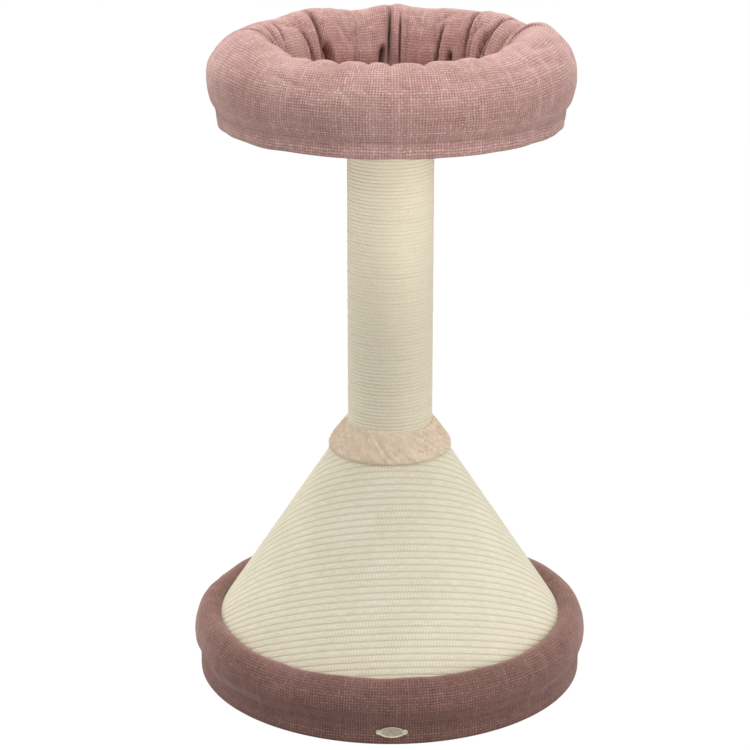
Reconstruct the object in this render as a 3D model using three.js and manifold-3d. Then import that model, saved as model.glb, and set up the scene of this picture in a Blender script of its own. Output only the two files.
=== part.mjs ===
// Cat scratching post: a round padded base with a sisal-matted cone on it, a rope-wound post on
// the cone and a round bed with a gathered bolster and a loose cushion on the post.
// Millimetres, +Z up, z = 0 on the floor, the post's axis on the Z axis, the front towards -Y.

import * as THREE from "three";
import { mergeVertices } from "three/addons/utils/BufferGeometryUtils.js";
import Module from "manifold-3d";

const wasm = await Module();
wasm.setup();

// ---------------------------------------------------------------------------
// Driving dimensions
// ---------------------------------------------------------------------------

const GAP = 0.3;                       // left between two pieces that touch
const SOFT_GAP = 0.5;                  // left between a soft piece and what it lies against
const FABRIC = 1.5;                    // woven cover with its backing

// Base: a round board in a padded fabric cover, with a stuffed rim on it
const BASE_BOARD_DIAMETER = 406.4;
const BASE_BOARD_THICKNESS = 18;
const BASE_EDGE_PADDING = 3;           // wadding and fabric on the board's edge, at the bottom
const BASE_EDGE_FLARE = 1;             // how much further out the cover stands at its top
const BASE_HEM_WIDTH = 28;             // cover turned in under the board
const RIM_HEIGHT = 46;
const RIM_BULGE = 6;                   // how far the rim overhangs the cover
const RIM_BULGE_HEIGHT = 19;           // from the rim's foot up to its widest place
const RIM_RIDGE_OFFSET = 16.5;         // from the cone out to the rim's ridge
const RIM_LIP_DROP = 6.5;              // from the ridge down to the edge on the cone

// Cone: a second board, a fibreboard shell with a sisal mat round it, and a top board
const FOOT_BOARD_THICKNESS = 15;
const MAT_OVERHANG = 2.2;              // the mat's foot beyond the foot board's edge
const CONE_FOOT_SETBACK = 2;           // the mat's foot inside the base board's edge
const CONE_TOP_STEP = 9;               // the mat's top edge outside the rope
const CONE_HEIGHT = 227;
const MAT_THICKNESS = 5;
const SHELL_THICKNESS = 3;
const TOP_BOARD_THICKNESS = 16;
const CORE_TUBE_DIAMETER = 60;
const TUBE_WALL = 4;
const PLUG_LENGTH = 25;
const PLUG_CHAMFER = 1.5;              // on its inner end, to lead it into the tube

// Post: a cardboard tube with one run of rope wound round it
const POST_DIAMETER = 90;              // over the rope
const POST_LENGTH = 339;
const ROPE_DIAMETER = 3.85;
const ROPE_GROOVE_DEPTH = 1.5;         // between two turns that lie side by side
const ROPES_IN_BAND = 4;
const ROPE_BAND_GAP = 0.6;             // between one loop of the band and the next
const ROPE_END_HEIGHT = 1.2;           // what the band narrows to at its two flush ends
const COLLAR_DROP = 12.4;              // below the cone's top edge
const COLLAR_RISE = 17.6;              // above the cone's top edge
const COLLAR_THICKNESS = 4;
const COLLAR_WAIST = 2;                // how far its wrap is drawn in just above its lower edge
const COLLAR_WAIST_HEIGHT = 8;         // above its lower edge
const COLLAR_SHOULDER_HEIGHT = 4;      // where it turns in over the cone's top edge
const COLLAR_EDGE = 1;                 // rounding of its two edges

// Bed: a board in its cover, the stuffed bolster on it and a loose cushion inside
const BED_BOARD_DIAMETER = 346.6;
const BED_BOARD_THICKNESS = 15;
const BED_EDGE_PADDING = 3.2;
const BED_EDGE_FLARE = 2;
const BED_HEM_WIDTH = 26;              // cover turned in over the board
const BOLSTER_OVERHANG = 14.2;         // its widest line outside the board's edge
const BOLSTER_WIDTH = 70.5;            // from its widest line to where it comes furthest in
const BOLSTER_RIDGE_INSET = 37;        // from its widest line in to its ridge
const BOLSTER_HEIGHT = 76;
const BOLSTER_WIDEST_HEIGHT = 27;      // above the bolster's own foot
const BOLSTER_FOOT_TUCK = 4;           // its inner foot behind its inner face
const BOLSTER_SHOULDER_REACH = 0.58;   // share of the way from the ridge out to the widest line
const BOLSTER_SHOULDER_DROP = 11.4;    // below the ridge, there
const BOLSTER_BROW_REACH = 0.62;       // share of the way from the ridge in to the inner face
const BOLSTER_BROW_DROP = 12.2;        // below the ridge, there
const GATHERS = 24;
const GATHER_DEPTH = 13;
const GATHER_START = 14;               // a gather starts this far outside the ridge
const GATHER_RUN = 40;                 // and is at full depth this far inside its start
const CUSHION_CLEARANCE = 6;           // all round, inside the bolster
const CUSHION_THICKNESS = 20.5;
const CUSHION_WELT = 3;                // the piped seam round it
const CUSHION_WELT_HEIGHT = 7;         // of its widest line above its underside
const CUSHION_CROWN_REACH = 0.8;       // share of its radius where its crown falls to the seam

// Hardware: M8 bolts and stud, threaded inserts, countersunk wood screws
const BOLT_DIAMETER = 8;
const BOLT_HOLE_DIAMETER = 9;
const BOLT_HEAD_FLATS = 13;
const BOLT_HEAD_HEIGHT = 5.3;
const BOLT_TIP = 1;                    // chamfer on its end
const BASE_BOLT_LENGTH = 45;
const BED_BOLT_LENGTH = 35;
const STUD_LENGTH = 50;
const WASHER_DIAMETER = 24;
const WASHER_THICKNESS = 1.6;
const COUNTERBORE_DIAMETER = 28;
const COUNTERBORE_DEPTH = 8;
const INSERT_DIAMETER = 12;
const INSERT_LENGTH = 15;
const SCREW_DIAMETER = 4;
const SCREW_HEAD_DIAMETER = 8;
const SCREW_LENGTH = 30;
const SCREW_POINT_LENGTH = 8;
const SCREW_CIRCLE_DIAMETER = 240;
const SCREW_COUNT = 4;

// Badge: a bare oval plate with a ring at each end, held by two pins
const BADGE_WIDTH = 33;
const BADGE_PLATE_WIDTH = 27;
const BADGE_HEIGHT = 12.4;
const BADGE_THICKNESS = 1;
const BADGE_CENTRE_HEIGHT = 14.6;
const BADGE_AZIMUTH = 0.7;             // degrees, from the front towards +X
const BADGE_RING_DIAMETER = 6.4;
const BADGE_PIN_DIAMETER = 2;
const BADGE_PIN_HEAD_DIAMETER = 4;
const BADGE_PIN_HEAD_HEIGHT = 0.8;
const BADGE_PIN_LENGTH = 14;

// How finely round shapes are stepped
const LARGE_STEPS = 48;
const SMALL_STEPS = 12;
const PIN_STEPS = 8;
const TUBE_STEPS = 24;
const COLLAR_STEPS = 32;
const ROPE_STEPS = 16;
const STEPS_PER_GATHER = 3;
const CUSHION_STEPS = 24;

// ---------------------------------------------------------------------------
// Places that follow from the dimensions
// ---------------------------------------------------------------------------

const baseBoardRadius = BASE_BOARD_DIAMETER / 2;
const baseBoardBottom = FABRIC + GAP;
const baseBoardTop = baseBoardBottom + BASE_BOARD_THICKNESS;
const baseCoverTop = baseBoardTop + GAP + FABRIC;

const coneFootRadius = baseBoardRadius - CONE_FOOT_SETBACK;
const footBoardRadius = coneFootRadius - MAT_OVERHANG;
const footBoardBottom = baseBoardTop + GAP;
const footBoardTop = footBoardBottom + FOOT_BOARD_THICKNESS;

const coneFoot = footBoardTop + GAP;
const coneTop = coneFoot + CONE_HEIGHT;
const postRadius = POST_DIAMETER / 2;
const coneTopRadius = postRadius + CONE_TOP_STEP;
const coneSlope = (coneFootRadius - coneTopRadius) / CONE_HEIGHT;
const coneStretch = Math.hypot(1, coneSlope);   // level thickness of a wall 1 mm thick
const matInset = MAT_THICKNESS * coneStretch;
const shellInset = matInset + GAP * coneStretch;
const hollowInset = shellInset + SHELL_THICKNESS * coneStretch;
const coneRadius = (z) => coneFootRadius - coneSlope * (z - coneFoot);

const topBoardBottom = coneTop - TOP_BOARD_THICKNESS;
const coreBottom = coneFoot;
const coreTop = topBoardBottom - GAP;

const postBottom = coneTop + GAP;
const postTop = postBottom + POST_LENGTH;
const chordShare = Math.cos(Math.PI / ROPE_STEPS);  // a chord's middle against its ends
const ropeInnerRadius = postRadius - ROPE_DIAMETER;
const postTubeRadius = ropeInnerRadius * chordShare - GAP;

const bedCoverBottom = postTop + GAP;
const bedBoardRadius = BED_BOARD_DIAMETER / 2;
const bedBoardBottom = bedCoverBottom + FABRIC + GAP;
const bedBoardTop = bedBoardBottom + BED_BOARD_THICKNESS;
const bedCoverTop = bedBoardTop + GAP + FABRIC;
const bolsterFoot = bedCoverTop + GAP;
const bolsterRadius = bedBoardRadius + BOLSTER_OVERHANG;
const ridgeRadius = bolsterRadius - BOLSTER_RIDGE_INSET;
const openingRadius = bolsterRadius - BOLSTER_WIDTH;
const cushionBottom = bedBoardTop + GAP;
const cushionRadius = openingRadius - CUSHION_CLEARANCE;

// ---------------------------------------------------------------------------
// Finishes
// ---------------------------------------------------------------------------

const finish = (color, roughness, metalness = 0) => () =>
  new THREE.MeshStandardMaterial({ color, roughness, metalness });

const bedFabric = finish(0xbd9189, 0.95);
const baseFabric = finish(0x9a766c, 0.95);
const sisalRope = finish(0xd2c9ad, 0.9);
const sisalMat = finish(0xded7bc, 0.9);
const plush = finish(0xd2c2ab, 1);
const chipboard = finish(0xb99a6b, 0.85);
const fibreboard = finish(0x8a6a48, 0.9);
const cardboard = finish(0xa98a63, 0.9);
const zincSteel = finish(0xc2c4c6, 0.35, 1);
const nickel = finish(0x776958, 0.4, 1);

// ---------------------------------------------------------------------------
// Shapes
// ---------------------------------------------------------------------------

// A ring or disc: the outline [radius, height] turned once round the Z axis. The outline runs
// anticlockwise, so up its outer side, and it closes on itself or starts and ends on the axis.
function revolve(outline, steps) {
  const points = outline.map(([radius, height]) => new THREE.Vector2(radius, height));
  const touchesAxis = outline[0][0] === 0 && outline.at(-1)[0] === 0;
  if (!touchesAxis) points.push(points[0].clone());
  return new THREE.LatheGeometry(points, steps).rotateX(Math.PI / 2);
}

// Points on a smooth curve through a few [radius, height] places.
function smooth(places, divisions) {
  const through = places.map(([radius, height]) => new THREE.Vector2(radius, height));
  return new THREE.SplineCurve(through).getPoints(divisions).map((point) => [point.x, point.y]);
}

// A square-edged ring.
function ring(inner, outer, bottom, top, steps) {
  return revolve([[inner, bottom], [outer, bottom], [outer, top], [inner, top]], steps);
}

// A skin through rings of points, each with as many points as the next, all turning the same way.
function skin(rings, joinsItself) {
  const count = rings[0].length;
  const spans = joinsItself ? rings.length : rings.length - 1;
  const indices = [];
  for (let i = 0; i < spans; i += 1) {
    const here = i * count;
    const next = ((i + 1) % rings.length) * count;
    for (let j = 0; j < count; j += 1) {
      const k = (j + 1) % count;
      indices.push(here + j, next + j, next + k);
      indices.push(here + j, next + k, here + k);
    }
  }
  return { count, indices, positions: rings.flat().flatMap((p) => [p.x, p.y, p.z]) };
}

function toGeometry(positions, indices) {
  const geometry = new THREE.BufferGeometry();
  geometry.setAttribute("position", new THREE.Float32BufferAttribute(positions, 3));
  geometry.setIndex(indices);
  geometry.computeVertexNormals();
  return geometry;
}

function toSolid(geometry) {
  const bare = geometry.clone();
  bare.deleteAttribute("normal");
  bare.deleteAttribute("uv");
  const merged = mergeVertices(bare);
  const vertProperties = new Float32Array(merged.attributes.position.array);
  const triVerts = new Uint32Array(merged.index.array);
  return new wasm.Manifold(new wasm.Mesh({ numProp: 3, vertProperties, triVerts }));
}

function fromSolid(solid) {
  const { vertProperties, triVerts } = solid.getMesh();
  return toGeometry(Array.from(vertProperties), Array.from(triVerts));
}

function joined(...shapes) {
  return fromSolid(shapes.map(toSolid).reduce((sum, solid) => sum.add(solid)));
}

function cut(shape, cutters) {
  return fromSolid(cutters.map(toSolid).reduce((left, solid) => left.subtract(solid), toSolid(shape)));
}

const post = new THREE.Group();

function piece(name, geometry, material) {
  const mesh = new THREE.Mesh(geometry, material());
  mesh.name = name;
  post.add(mesh);
  return mesh;
}

// Where a point at an azimuth from the front, on a circle, lies.
function onCircle(radius, azimuth, z) {
  return new THREE.Vector3(radius * Math.sin(azimuth), -radius * Math.cos(azimuth), z);
}

// ---------------------------------------------------------------------------
// Boards, covers and hardware
// ---------------------------------------------------------------------------

// A fabric cover round a board's edge: turned in under the board and over it.
function boardCover(board, reach) {
  const { radius, bottom, top } = board;
  const under = bottom - GAP - FABRIC;
  const over = top + GAP + FABRIC;
  const edge = radius + board.padding;
  const flared = edge + board.flare;
  return revolve([
    [reach.under, under],
    [edge - FABRIC, under],
    [edge, under + FABRIC],
    [flared, over - FABRIC],
    [flared - FABRIC, over],
    [reach.over, over],
    [reach.over, over - FABRIC],
    [radius + GAP, over - FABRIC],
    [radius + GAP, under + FABRIC],
    [reach.under, under + FABRIC],
  ], LARGE_STEPS);
}

// A round board with a bolt hole, counterbored from below.
function boredBoard(radius, bottom, top) {
  return revolve([
    [COUNTERBORE_DIAMETER / 2, bottom],
    [radius, bottom],
    [radius, top],
    [BOLT_HOLE_DIAMETER / 2, top],
    [BOLT_HOLE_DIAMETER / 2, bottom + COUNTERBORE_DEPTH],
    [COUNTERBORE_DIAMETER / 2, bottom + COUNTERBORE_DEPTH],
  ], LARGE_STEPS);
}

// A hexagon bolt standing on its head: the head's underside at z = 0, the shank above it.
function bolt(length) {
  const headRadius = BOLT_HEAD_FLATS / 2 / Math.cos(Math.PI / 6);
  const head = new THREE.CylinderGeometry(headRadius, headRadius, BOLT_HEAD_HEIGHT, 6);
  head.rotateX(Math.PI / 2).translate(0, 0, -BOLT_HEAD_HEIGHT / 2);
  const shank = revolve([
    [0, -BOLT_HEAD_HEIGHT / 2],
    [BOLT_DIAMETER / 2, -BOLT_HEAD_HEIGHT / 2],
    [BOLT_DIAMETER / 2, length - BOLT_TIP],
    [BOLT_DIAMETER / 2 - BOLT_TIP, length],
    [0, length],
  ], SMALL_STEPS);
  return joined(head, shank);
}

function washer() {
  return ring(BOLT_HOLE_DIAMETER / 2, WASHER_DIAMETER / 2, 0, WASHER_THICKNESS, SMALL_STEPS);
}

// A turned plug for a tube's end, with the insert's seat in its outer face at z = 0.
function plug(radius) {
  const seat = INSERT_DIAMETER / 2 + GAP;
  return revolve([
    [seat, 0],
    [radius, 0],
    [radius, PLUG_LENGTH - PLUG_CHAMFER],
    [radius - PLUG_CHAMFER, PLUG_LENGTH],
    [BOLT_HOLE_DIAMETER / 2, PLUG_LENGTH],
    [BOLT_HOLE_DIAMETER / 2, INSERT_LENGTH + GAP],
    [seat, INSERT_LENGTH + GAP],
  ], TUBE_STEPS);
}

function insert() {
  return ring(BOLT_DIAMETER / 2 + GAP, INSERT_DIAMETER / 2, 0, INSERT_LENGTH, SMALL_STEPS);
}

// A countersunk wood screw, point up, its head's face at z = 0; spare widens it into its hole.
function screw(spare) {
  const shank = SCREW_DIAMETER / 2 + spare;
  const head = SCREW_HEAD_DIAMETER / 2 + spare;
  return revolve([
    [0, -spare],
    [head, -spare],
    [head, 0],
    [shank, head - shank],
    [shank, SCREW_LENGTH - SCREW_POINT_LENGTH],
    [0, SCREW_LENGTH + spare],
  ], SMALL_STEPS);
}

// Two plugs with their inserts, one in each end of a tube.
function plugTube(name, tubeRadius, bottom, top) {
  const radius = tubeRadius - TUBE_WALL - GAP;
  const ends = [{ end: "lower", face: bottom, turn: 0 }, { end: "upper", face: top, turn: Math.PI }];
  piece(`${name}_tube`, ring(tubeRadius - TUBE_WALL, tubeRadius, bottom, top, TUBE_STEPS), cardboard);
  for (const { end, face, turn } of ends) {
    const wood = piece(`${name}_plug_${end}`, plug(radius), chipboard);
    const metal = piece(`${name}_insert_${end}`, insert(), zincSteel);
    for (const part of [wood, metal]) {
      part.position.z = face;
      part.rotation.x = turn;
    }
  }
}

// ---------------------------------------------------------------------------
// Base
// ---------------------------------------------------------------------------

const badgeAngle = THREE.MathUtils.degToRad(BADGE_AZIMUTH);
const coverEdge = baseBoardRadius + BASE_EDGE_PADDING;
const badgeLean = Math.atan(BASE_EDGE_FLARE / (baseCoverTop - 2 * FABRIC));
const badgeBack = coverEdge + BASE_EDGE_FLARE + GAP;
const badgeEyeOffset = (BADGE_WIDTH - BADGE_RING_DIAMETER) / 2;

// The badge's own frame: x across, y up, z out of the base, z = 0 on the plate's back.
function placeOnEdge(object) {
  object.position.copy(onCircle(badgeBack, badgeAngle, BADGE_CENTRE_HEIGHT));
  object.rotation.set(Math.PI / 2 + badgeLean, 0, badgeAngle, "ZXY");
}

function badgePlate() {
  const outline = new THREE.Shape();
  outline.absellipse(0, 0, BADGE_PLATE_WIDTH / 2, BADGE_HEIGHT / 2, 0, 2 * Math.PI);
  const extrude = { depth: BADGE_THICKNESS, bevelEnabled: false, curveSegments: SMALL_STEPS };
  const plate = new THREE.ExtrudeGeometry(outline, extrude);
  const rings = [-1, 1].map((side) => {
    const eye = new THREE.Shape();
    eye.absarc(0, 0, BADGE_RING_DIAMETER / 2, 0, 2 * Math.PI);
    const disc = new THREE.ExtrudeGeometry(eye, { ...extrude, curveSegments: SMALL_STEPS / 2 });
    return disc.translate(side * badgeEyeOffset, 0, 0);
  });
  const holes = [-1, 1].map((side) => badgePin(GAP).translate(side * badgeEyeOffset, 0, 0));
  return cut(joined(plate, ...rings), holes);
}

// A pin along the badge's z axis: its head on the plate's face, its point in the board.
function badgePin(spare) {
  const face = BADGE_THICKNESS + GAP;
  const shank = BADGE_PIN_DIAMETER / 2 + spare;
  const headHeight = spare > 0 ? 0 : BADGE_PIN_HEAD_HEIGHT;
  const head = spare > 0 ? shank : BADGE_PIN_HEAD_DIAMETER / 2;
  return revolve([
    [0, face - BADGE_PIN_LENGTH - spare],
    [shank, face - BADGE_PIN_LENGTH + BADGE_PIN_DIAMETER],
    [shank, face],
    [head, face],
    [head, face + headHeight + spare],
    [0, face + headHeight + spare],
  ], PIN_STEPS);
}

const badgeFrame = new THREE.Object3D();
placeOnEdge(badgeFrame);
badgeFrame.updateMatrix();
const pinHoles = [-1, 1].map((side) => badgePin(GAP)
  .translate(side * badgeEyeOffset, 0, 0)
  .applyMatrix4(badgeFrame.matrix));

const screwPlaces = Array.from({ length: SCREW_COUNT }, (_, i) => (
  onCircle(SCREW_CIRCLE_DIAMETER / 2, (2 * Math.PI * (i + 0.5)) / SCREW_COUNT, baseBoardBottom + GAP)
));
const screwHoles = screwPlaces.map((place) => screw(GAP).translate(place.x, place.y, place.z));

const baseBoard = boredBoard(baseBoardRadius, baseBoardBottom, baseBoardTop);
piece("base_board", cut(baseBoard, [...screwHoles, ...pinHoles]), chipboard);
piece("base_cover", cut(boardCover({
  radius: baseBoardRadius,
  bottom: baseBoardBottom,
  top: baseBoardTop,
  padding: BASE_EDGE_PADDING,
  flare: BASE_EDGE_FLARE,
}, { under: baseBoardRadius - BASE_HEM_WIDTH, over: footBoardRadius + GAP }), pinHoles), baseFabric);

// The stuffed rim: a roll squeezed between the cover's top and the foot of the cone.
function rimOutline() {
  const foot = baseCoverTop + GAP;
  const ridge = foot + RIM_HEIGHT;
  const lip = ridge - RIM_LIP_DROP;
  const coverTopRadius = coverEdge + BASE_EDGE_FLARE;
  const widest = coverTopRadius + RIM_BULGE;
  const clear = SOFT_GAP * coneStretch;
  const inner = coneFootRadius + clear;
  const skinLine = smooth([
    [coverTopRadius - FABRIC / 3, foot],
    [widest, foot + RIM_BULGE_HEIGHT],
    [widest - RIM_BULGE, ridge - RIM_LIP_DROP],
    [coneRadius(ridge) + RIM_RIDGE_OFFSET, ridge],
    [coneRadius(lip) + clear, lip],
  ], 8);
  return [...skinLine, [coneRadius(coneFoot) + clear, coneFoot], [inner, foot]];
}

piece("base_rim", revolve(rimOutline(), LARGE_STEPS), baseFabric);

placeOnEdge(piece("badge", badgePlate(), nickel));
for (const [side, name] of [[-1, "left"], [1, "right"]]) {
  const pin = badgePin(0).translate(side * badgeEyeOffset, 0, 0);
  placeOnEdge(piece(`badge_pin_${name}`, pin, nickel));
}

// ---------------------------------------------------------------------------
// Cone
// ---------------------------------------------------------------------------

// A conical wall between two insets from the mat's outer face.
function coneWall(outerInset, innerInset) {
  return revolve([
    [coneRadius(coneFoot) - innerInset, coneFoot],
    [coneRadius(coneFoot) - outerInset, coneFoot],
    [coneRadius(coneTop) - outerInset, coneTop],
    [coneRadius(coneTop) - innerInset, coneTop],
  ], LARGE_STEPS);
}

const footBoard = ring(BOLT_HOLE_DIAMETER / 2, footBoardRadius, footBoardBottom, footBoardTop, LARGE_STEPS);
piece("cone_foot_board", cut(footBoard, screwHoles), chipboard);
screwPlaces.forEach((place, i) => {
  piece(`foot_screw_${i + 1}`, screw(0), zincSteel).position.copy(place);
});
piece("cone_shell", coneWall(shellInset, hollowInset), fibreboard);
piece("cone_mat", coneWall(0, matInset), sisalMat);

const topBoardInset = hollowInset + GAP * coneStretch;
piece("cone_top_board", revolve([
  [BOLT_HOLE_DIAMETER / 2, topBoardBottom],
  [coneRadius(topBoardBottom) - topBoardInset, topBoardBottom],
  [coneRadius(coneTop) - topBoardInset, coneTop],
  [BOLT_HOLE_DIAMETER / 2, coneTop],
], LARGE_STEPS), chipboard);

plugTube("core", CORE_TUBE_DIAMETER / 2, coreBottom, coreTop);

const baseSeat = baseBoardBottom + COUNTERBORE_DEPTH - GAP;
piece("base_washer", washer(), zincSteel).position.z = baseSeat - WASHER_THICKNESS;
piece("base_bolt", bolt(BASE_BOLT_LENGTH), zincSteel).position.z = baseSeat - WASHER_THICKNESS - GAP;

const stud = ring(0, BOLT_DIAMETER / 2, -STUD_LENGTH / 2, STUD_LENGTH / 2, SMALL_STEPS);
piece("joint_stud", stud, zincSteel).position.z = (topBoardBottom + coneTop) / 2;

// ---------------------------------------------------------------------------
// Post
// ---------------------------------------------------------------------------

plugTube("post", postTubeRadius, postBottom, postTop);

// One run of rope, wound from the bottom up. It is drawn as a band of ropes that lie side by side,
// so its ridges stand a rope's width apart, as the real turns do. The band's first and last
// loops narrow to level ends, flush with the post's two ends.
function ropeRings() {
  const bandHeight = ROPES_IN_BAND * ROPE_DIAMETER;
  const bottom = postBottom + GAP;
  const top = postTop - GAP;
  const firstStep = Math.ceil(((ROPE_END_HEIGHT + ROPE_BAND_GAP) / bandHeight) * ROPE_STEPS);
  const lastStep = Math.floor(((top - bottom - ROPE_END_HEIGHT) / bandHeight + 1) * ROPE_STEPS);
  const groove = postRadius - ROPE_GROOVE_DEPTH;
  const rings = [];
  for (let step = firstStep; step <= lastStep; step += 1) {
    const turned = step / ROPE_STEPS;
    const low = Math.max(bottom, bottom + bandHeight * (turned - 1));
    const high = Math.min(top, bottom + bandHeight * turned - ROPE_BAND_GAP);
    const section = [[ropeInnerRadius, 0]];
    for (let rope = 0; rope < ROPES_IN_BAND; rope += 1) {
      if (rope > 0) section.push([groove, rope / ROPES_IN_BAND]);
      section.push([postRadius, (rope + 0.5) / ROPES_IN_BAND]);
    }
    section.push([ropeInnerRadius, 1]);
    rings.push(section.map(([radius, share]) => (
      onCircle(radius, 2 * Math.PI * turned, THREE.MathUtils.lerp(low, high, share))
    )));
  }
  return rings;
}

// The least distance between the winding's points on one loop and on the next.
function leastGap(rings) {
  let least = Infinity;
  rings.forEach((ringPoints, i) => {
    const from = i + ROPE_STEPS - 2;
    const neighbours = rings.slice(from, from + 5).flat();
    for (const a of ringPoints) {
      for (const b of neighbours) least = Math.min(least, a.distanceTo(b));
    }
  });
  return least;
}

function ropeGeometry() {
  const rings = ropeRings();
  console.log(`post_rope: ${((rings.length - 1) / ROPE_STEPS).toFixed(1)} loops of the band, `
    + `least gap to itself ${leastGap(rings).toFixed(2)} mm`);
  const { count, indices, positions } = skin(rings, false);
  const flat = rings[0].map((p) => new THREE.Vector2(Math.hypot(p.x, p.y), p.z));
  const last = (rings.length - 1) * count;
  for (const [a, b, c] of THREE.ShapeUtils.triangulateShape(flat, [])) {
    indices.push(a, b, c);
    indices.push(last + a, last + c, last + b);
  }
  return toGeometry(positions, indices);
}

piece("post_rope", ropeGeometry(), sisalRope);

// The plush collar over the joint of post and cone.
function collarOutline() {
  const inside = postRadius + SOFT_GAP;
  const bottom = coneTop - COLLAR_DROP;
  const top = coneTop + COLLAR_RISE;
  const edge = coneTop + SOFT_GAP + GAP;
  const clear = SOFT_GAP * coneStretch;
  const outside = smooth([
    [coneRadius(bottom) + COLLAR_THICKNESS, bottom + COLLAR_EDGE],
    [coneRadius(bottom) + COLLAR_THICKNESS - COLLAR_WAIST, bottom + COLLAR_WAIST_HEIGHT],
    [coneRadius(coneTop) + COLLAR_THICKNESS, coneTop + COLLAR_SHOULDER_HEIGHT],
    [inside + COLLAR_THICKNESS, top - COLLAR_EDGE],
    [inside + COLLAR_EDGE, top],
  ], 6);
  return [
    [coneRadius(bottom) + clear, bottom],
    ...outside,
    [inside, top - COLLAR_EDGE],
    [inside, edge],
    [coneRadius(coneTop) + clear, edge],
  ];
}

piece("collar", revolve(collarOutline(), COLLAR_STEPS), plush);

// ---------------------------------------------------------------------------
// Bed
// ---------------------------------------------------------------------------

const bedBoard = boredBoard(bedBoardRadius, -bedBoardTop, -bedBoardBottom).rotateX(Math.PI);
piece("bed_board", bedBoard, chipboard);
piece("bed_cover", boardCover({
  radius: bedBoardRadius,
  bottom: bedBoardBottom,
  top: bedBoardTop,
  padding: BED_EDGE_PADDING,
  flare: BED_EDGE_FLARE,
}, { under: BOLT_HOLE_DIAMETER / 2, over: bedBoardRadius - BED_HEM_WIDTH }), bedFabric);

const bedSeat = bedBoardTop - COUNTERBORE_DEPTH + GAP;
piece("bed_washer", washer(), zincSteel).position.z = bedSeat;
const bedBolt = piece("bed_bolt", bolt(BED_BOLT_LENGTH), zincSteel);
bedBolt.position.z = bedSeat + WASHER_THICKNESS + GAP;
bedBolt.rotation.x = Math.PI;

// The bolster's section, from its outer foot over the ridge to its inner foot.
function bolsterSection() {
  const top = bolsterFoot + BOLSTER_HEIGHT;
  const foot = bedBoardRadius + BED_EDGE_PADDING;
  const shoulder = THREE.MathUtils.lerp(ridgeRadius, bolsterRadius, BOLSTER_SHOULDER_REACH);
  const brow = THREE.MathUtils.lerp(ridgeRadius, openingRadius, BOLSTER_BROW_REACH);
  return smooth([
    [foot, bolsterFoot],
    [bolsterRadius, bolsterFoot + BOLSTER_WIDEST_HEIGHT],
    [shoulder, top - BOLSTER_SHOULDER_DROP],
    [ridgeRadius, top],
    [brow, top - BOLSTER_BROW_DROP],
    [openingRadius, bolsterFoot + BOLSTER_WIDEST_HEIGHT],
    [openingRadius + BOLSTER_FOOT_TUCK, bolsterFoot],
  ], 12);
}

// The gathered ring. Each gather pulls the skin in along one line, deepest at the inner foot and
// gone just outside the ridge, and the skin stands full for the two steps between.
function bolsterGeometry() {
  const section = bolsterSection();
  const core = { radius: ridgeRadius, height: bolsterFoot + BOLSTER_HEIGHT / 2 };
  const steps = GATHERS * STEPS_PER_GATHER;
  const rings = [];
  for (let step = 0; step < steps; step += 1) {
    const gathered = step % STEPS_PER_GATHER === 0;
    rings.push(section.map(([radius, height]) => {
      const inward = THREE.MathUtils.smoothstep(ridgeRadius + GATHER_START - radius, 0, GATHER_RUN);
      const raised = height > bolsterFoot ? 1 : 0;
      const pull = gathered ? GATHER_DEPTH * inward * raised : 0;
      const reach = Math.hypot(radius - core.radius, height - core.height);
      const share = 1 - pull / reach;
      const pulledRadius = core.radius + (radius - core.radius) * share;
      const pulledHeight = core.height + (height - core.height) * share;
      return onCircle(pulledRadius, (2 * Math.PI * step) / steps, pulledHeight);
    }));
  }
  const { indices, positions } = skin(rings, true);
  return toGeometry(positions, indices);
}

piece("bed_bolster", bolsterGeometry(), bedFabric);

piece("bed_cushion", revolve([
  [0, cushionBottom],
  [cushionRadius - CUSHION_WELT_HEIGHT, cushionBottom],
  [cushionRadius, cushionBottom + CUSHION_WELT_HEIGHT],
  ...smooth([
    [cushionRadius - CUSHION_WELT, cushionBottom + CUSHION_WELT_HEIGHT + CUSHION_WELT],
    [cushionRadius * CUSHION_CROWN_REACH, cushionBottom + CUSHION_THICKNESS - CUSHION_WELT],
    [0, cushionBottom + CUSHION_THICKNESS],
  ], 3),
], CUSHION_STEPS), bedFabric);

export default post;
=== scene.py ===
# %% [markdown]
# # Cat scratching post
# A round padded base, a cone in a ribbed sisal mat, a post wound with sisal rope and a soft round
# bed on top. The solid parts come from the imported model, and this script dresses them: each soft
# or wound part is modelled here with its real surface, and every surface gets a material that is
# worked out from what the real one is made of. All lengths are in metres, +Z is up, and the post
# stands on the Z axis with its front towards -Y.

import math
import random

import bpy
import numpy as np
from mathutils import Matrix, Vector, noise


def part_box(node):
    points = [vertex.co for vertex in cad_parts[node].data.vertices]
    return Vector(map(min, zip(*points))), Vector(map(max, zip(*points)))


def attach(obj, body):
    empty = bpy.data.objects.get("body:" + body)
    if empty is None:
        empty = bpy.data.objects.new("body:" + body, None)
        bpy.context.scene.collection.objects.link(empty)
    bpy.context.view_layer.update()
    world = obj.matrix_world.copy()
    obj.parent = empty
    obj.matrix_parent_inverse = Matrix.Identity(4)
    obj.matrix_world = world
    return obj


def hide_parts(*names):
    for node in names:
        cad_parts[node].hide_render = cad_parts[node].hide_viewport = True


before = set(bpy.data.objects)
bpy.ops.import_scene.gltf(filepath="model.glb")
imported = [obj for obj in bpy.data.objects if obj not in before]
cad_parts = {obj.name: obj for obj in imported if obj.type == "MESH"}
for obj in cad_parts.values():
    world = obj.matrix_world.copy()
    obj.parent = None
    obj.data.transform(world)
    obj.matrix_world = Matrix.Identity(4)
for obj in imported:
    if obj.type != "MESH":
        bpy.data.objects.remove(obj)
bpy.context.view_layer.update()
MM = 0.001
print("nodes in the frame:", len(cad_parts))

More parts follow.
